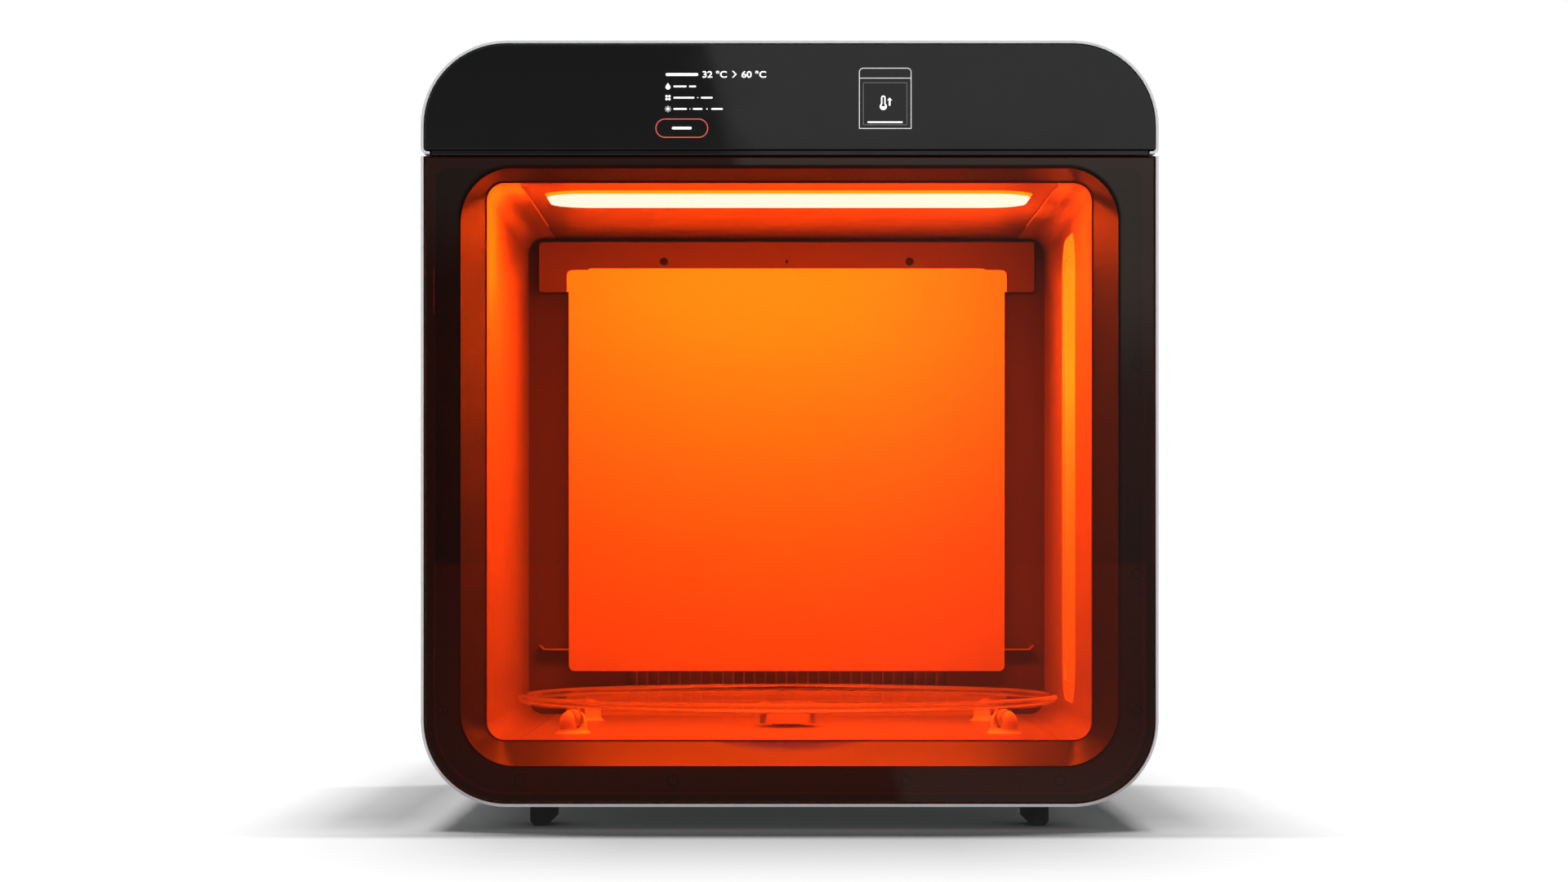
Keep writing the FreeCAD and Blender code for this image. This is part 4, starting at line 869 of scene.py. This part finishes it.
# How grey the painted shadow makes the floor, as (place in metres, share): in front of the body and beside
# it.
SHADOW_FRONT_ACROSS = ((0.12, 1.0), (0.21, 0.76), (0.25, 0.55), (0.28, 0.39), (0.31, 0.26), (0.41, 0.0))
SHADOW_FRONT_DEPTH = ((-0.80, 0.0), (-0.671, 0.12), (-0.575, 0.23), (-0.471, 0.35), (-0.365, 0.47), (-0.325, 0.0))
SHADOW_SIDE_ACROSS = ((0.25, 0.0), (0.295, 0.40), (0.335, 0.33), (0.36, 0.17), (0.40, 0.05), (0.44, 0.0))
SHADOW_SIDE_DEPTH = ((-0.33, 0.0), (-0.25, 0.6), (-0.15, 1.0), (0.20, 1.0), (0.60, 0.6), (0.85, 0.0))
SHADOW_SIDE_SHIFT = 0.02


def floor_with_painted_shadow(finish):
    """Near-white board with a painted shadow: it greys softly in front of the body and beside it."""
    axes = finish.axes(finish.place)
    aside = finish.maths("ABSOLUTE", axes["X"])
    beside = finish.maths("ABSOLUTE", finish.maths("ADD", axes["X"], SHADOW_SIDE_SHIFT))
    shadow_patches = ((aside, SHADOW_FRONT_ACROSS, SHADOW_FRONT_DEPTH), (beside, SHADOW_SIDE_ACROSS, SHADOW_SIDE_DEPTH))
    lights = []
    for across, across_stops, depth_stops in shadow_patches:
        in_depth = finish.profile(axes["Y"], depth_stops)
        dark = finish.maths("MULTIPLY", finish.profile(across, across_stops), in_depth)
        lights.append(finish.maths("SUBTRACT", 1.0, dark))
    board = finish.spread(finish.noise(scale=2.0), 0.895, 0.905)
    return finish.maths("MULTIPLY", finish.maths("MULTIPLY", *lights), board)


floor_finish = Finish("studio_floor").set(Specular_IOR_Level=0.0)
floor_finish.colour(floor_with_painted_shadow(floor_finish))
floor_finish.gloss(floor_finish.noise(scale=20.0), 0.85, 0.95)
floor_form = bmesh.new()
bmesh.ops.create_grid(floor_form, x_segments=FLOOR_SEGMENTS, y_segments=FLOOR_SEGMENTS, size=FLOOR_HALF)
add_staged("studio_floor", mesh_from(floor_form, "studio_floor"), floor_finish, ("glossy", "transmission"))

# ------------------------------------------------------------------ flag and fill in front of the body
# The flag stands just in front of the door, and only diffuse rays see it, so that the lit chamber behind the
# amber glass casts no red on the floor.
FLAG_HALF_WIDTH = 0.27
FLAG_BASE, FLAG_TOP = 0.019, 0.52
FLAG_GAP = 1.0 * MM

flag_finish = Finish("studio_flag").set(Specular_IOR_Level=0.0)
flag_finish.colour(flag_finish.tones(flag_finish.noise(scale=2.0), grey(0.02), grey(0.03)))
flag_mesh = bpy.data.meshes.new("studio_flag")
flag_mesh.from_pydata([(-FLAG_HALF_WIDTH, 0, FLAG_BASE), (FLAG_HALF_WIDTH, 0, FLAG_BASE),
                       (FLAG_HALF_WIDTH, 0, FLAG_TOP), (-FLAG_HALF_WIDTH, 0, FLAG_TOP)], [], [(0, 1, 2, 3)])
flag = add_staged("studio_flag", flag_mesh, flag_finish,
                  ("camera", "glossy", "transmission", "shadow", "volume_scatter"))
flag.location.y = cad_low[1] - FLAG_GAP

# Fill on the casing, from the camera's side.
helper_light("front_fill", (0.0, -3.6, 1.6), (68, 0, 0), (2.4, 1.6), 7.5,
             "door_rim", "upper_shell", "lower_shell")

# ------------------------------------------------------------------ studio surroundings
# Brightness of the surroundings by kind of ray.
CAMERA_WORLD = 1.0
DIFFUSE_WORLD = 0.15
SIDEWAYS_WORLD = 0.8
ABOVE_WORLD_THROUGH_GLASS = 0.02
BELOW_WORLD_THROUGH_GLASS = 0.30
# Reflections ahead are drawn over across = x / -y and upward = z / -y of the direction.
LEAST_AHEAD = 0.05
# A softbox on the right has a slanted, slightly soft edge; both sides change with height.
EDGE_LEAN = 0.26
EDGE_ACROSS = 0.0199
EDGE_SHARPNESS = 250.0
HEIGHT_SCALE = 2.5
RIGHT_LEVELS = ((0.30, 0.38), (0.40, 0.21), (0.60, 0.26), (0.72, 0.68), (0.83, 0.78))
LEFT_LEVELS = ((0.30, 0.15), (0.44, 0.115), (0.52, 0.088), (0.69, 0.09), (0.78, 0.26), (0.90, 0.20))
# A dim panel with round corners lies in the middle.
PANEL_MIDDLE = (0.0052, 0.0278)
PANEL_HALF = (0.0791, 0.0705)
PANEL_RADIUS = 0.0156
PANEL_SHARPNESS = 1500.0
PANEL_SCALE = 5.0
PANEL_LEVELS = ((0.0, 0.09), (0.5, 0.10), (0.75, 0.16), (1.0, 0.17))
# Directions whose -y is under this fade to the sideways brightness.
AHEAD_EDGE = 0.9
AHEAD_FADE = 4.0


def reflected_studio(graph, axes):
    """Brightness that glossy surfaces see in each direction."""
    ahead = graph.maths("MULTIPLY", axes["Y"], -1.0)
    depth = graph.maths("MAXIMUM", ahead, LEAST_AHEAD)
    across = graph.maths("DIVIDE", axes["X"], depth)
    upward = graph.maths("DIVIDE", axes["Z"], depth)

    leaning = graph.maths("ADD", across, graph.maths("MULTIPLY", upward, EDGE_LEAN))
    past_edge = graph.maths("SUBTRACT", leaning, EDGE_ACROSS)
    right = graph.clamped(graph.centred(past_edge, EDGE_SHARPNESS))
    height = graph.centred(upward, HEIGHT_SCALE)
    left_side, right_side = [graph.levels(height, stops, "EASE") for stops in (LEFT_LEVELS, RIGHT_LEVELS)]
    tone = graph.mixed(right, left_side, right_side)

    squares = []
    for value, middle, half in zip((across, upward), PANEL_MIDDLE, PANEL_HALF):
        away = graph.maths("ABSOLUTE", graph.maths("SUBTRACT", value, middle))
        beyond = graph.maths("MAXIMUM", graph.maths("SUBTRACT", away, half), 0.0)
        squares.append(graph.maths("POWER", beyond, 2.0))
    outside = graph.maths("SUBTRACT", graph.maths("POWER", graph.maths("ADD", *squares), 0.5), PANEL_RADIUS)
    inside = graph.clamped(graph.maths("MULTIPLY", outside, -PANEL_SHARPNESS))
    panel = graph.levels(graph.centred(across, PANEL_SCALE), PANEL_LEVELS, "EASE")
    tone = graph.mixed(inside, tone, panel)

    sideways = graph.clamped(graph.maths("MULTIPLY", graph.maths("SUBTRACT", AHEAD_EDGE, ahead), AHEAD_FADE))
    return graph.mixed(sideways, tone, SIDEWAYS_WORLD)


def studio_world():
    """Surroundings: white to the camera, dim for diffuse light, and a drawn studio for reflections."""
    world = bpy.data.worlds.new("studio")
    scene.world = world
    world.use_nodes = True
    graph = Graph(world.node_tree)
    axes = graph.axes(graph.nodes.new("ShaderNodeTexCoord").outputs["Generated"])
    path = graph.nodes.new("ShaderNodeLightPath").outputs
    before_bounce = graph.maths("LESS_THAN", path["Diffuse Depth"], 0.5)
    reflection = graph.maths("MULTIPLY", path["Is Glossy Ray"], before_bounce)
    below = graph.maths("LESS_THAN", axes["Z"], 0.0)
    through_glass = graph.mixed(below, ABOVE_WORLD_THROUGH_GLASS, BELOW_WORLD_THROUGH_GLASS)
    tone = graph.mixed(reflection, DIFFUSE_WORLD, reflected_studio(graph, axes))
    tone = graph.mixed(path["Is Transmission Ray"], tone, through_glass)
    tone = graph.mixed(path["Is Camera Ray"], tone, CAMERA_WORLD)
    graph.links.new(tone, graph.nodes["Background"].inputs["Color"])


studio_world()

# A far, large softbox overhead; its sizes and place are shares of its height.
STRIP_RADIANCE = 94.5
STRIP_HEIGHT = 300.0
STRIP_BACK = 0.12
STRIP_SIZE = (0.62, 0.06)
STRIP_TURN = -6.84
strip_light = panel_light("strip_light", (0, STRIP_BACK * STRIP_HEIGHT, STRIP_HEIGHT), (STRIP_TURN, 0, 0),
                          [share * STRIP_HEIGHT for share in STRIP_SIZE], STRIP_RADIANCE)
strip_light.visible_glossy = False

# ------------------------------------------------------------------ camera
CAMERA_PLACE = (-0.0142, -3.001, 0.206)
CAMERA_LENS = 80.6
CAMERA_SENSOR = 36.0
CAMERA_SHIFT = (0.0081, 0.0781)

lens = bpy.data.cameras.new("camera")
lens.sensor_width = CAMERA_SENSOR
lens.lens = CAMERA_LENS
lens.shift_x, lens.shift_y = CAMERA_SHIFT
lens.clip_start = 0.05
camera = bpy.data.objects.new("camera", lens)
scene.collection.objects.link(camera)
camera.location = CAMERA_PLACE
camera.rotation_euler = Euler((math.radians(90), 0, 0))
scene.camera = camera
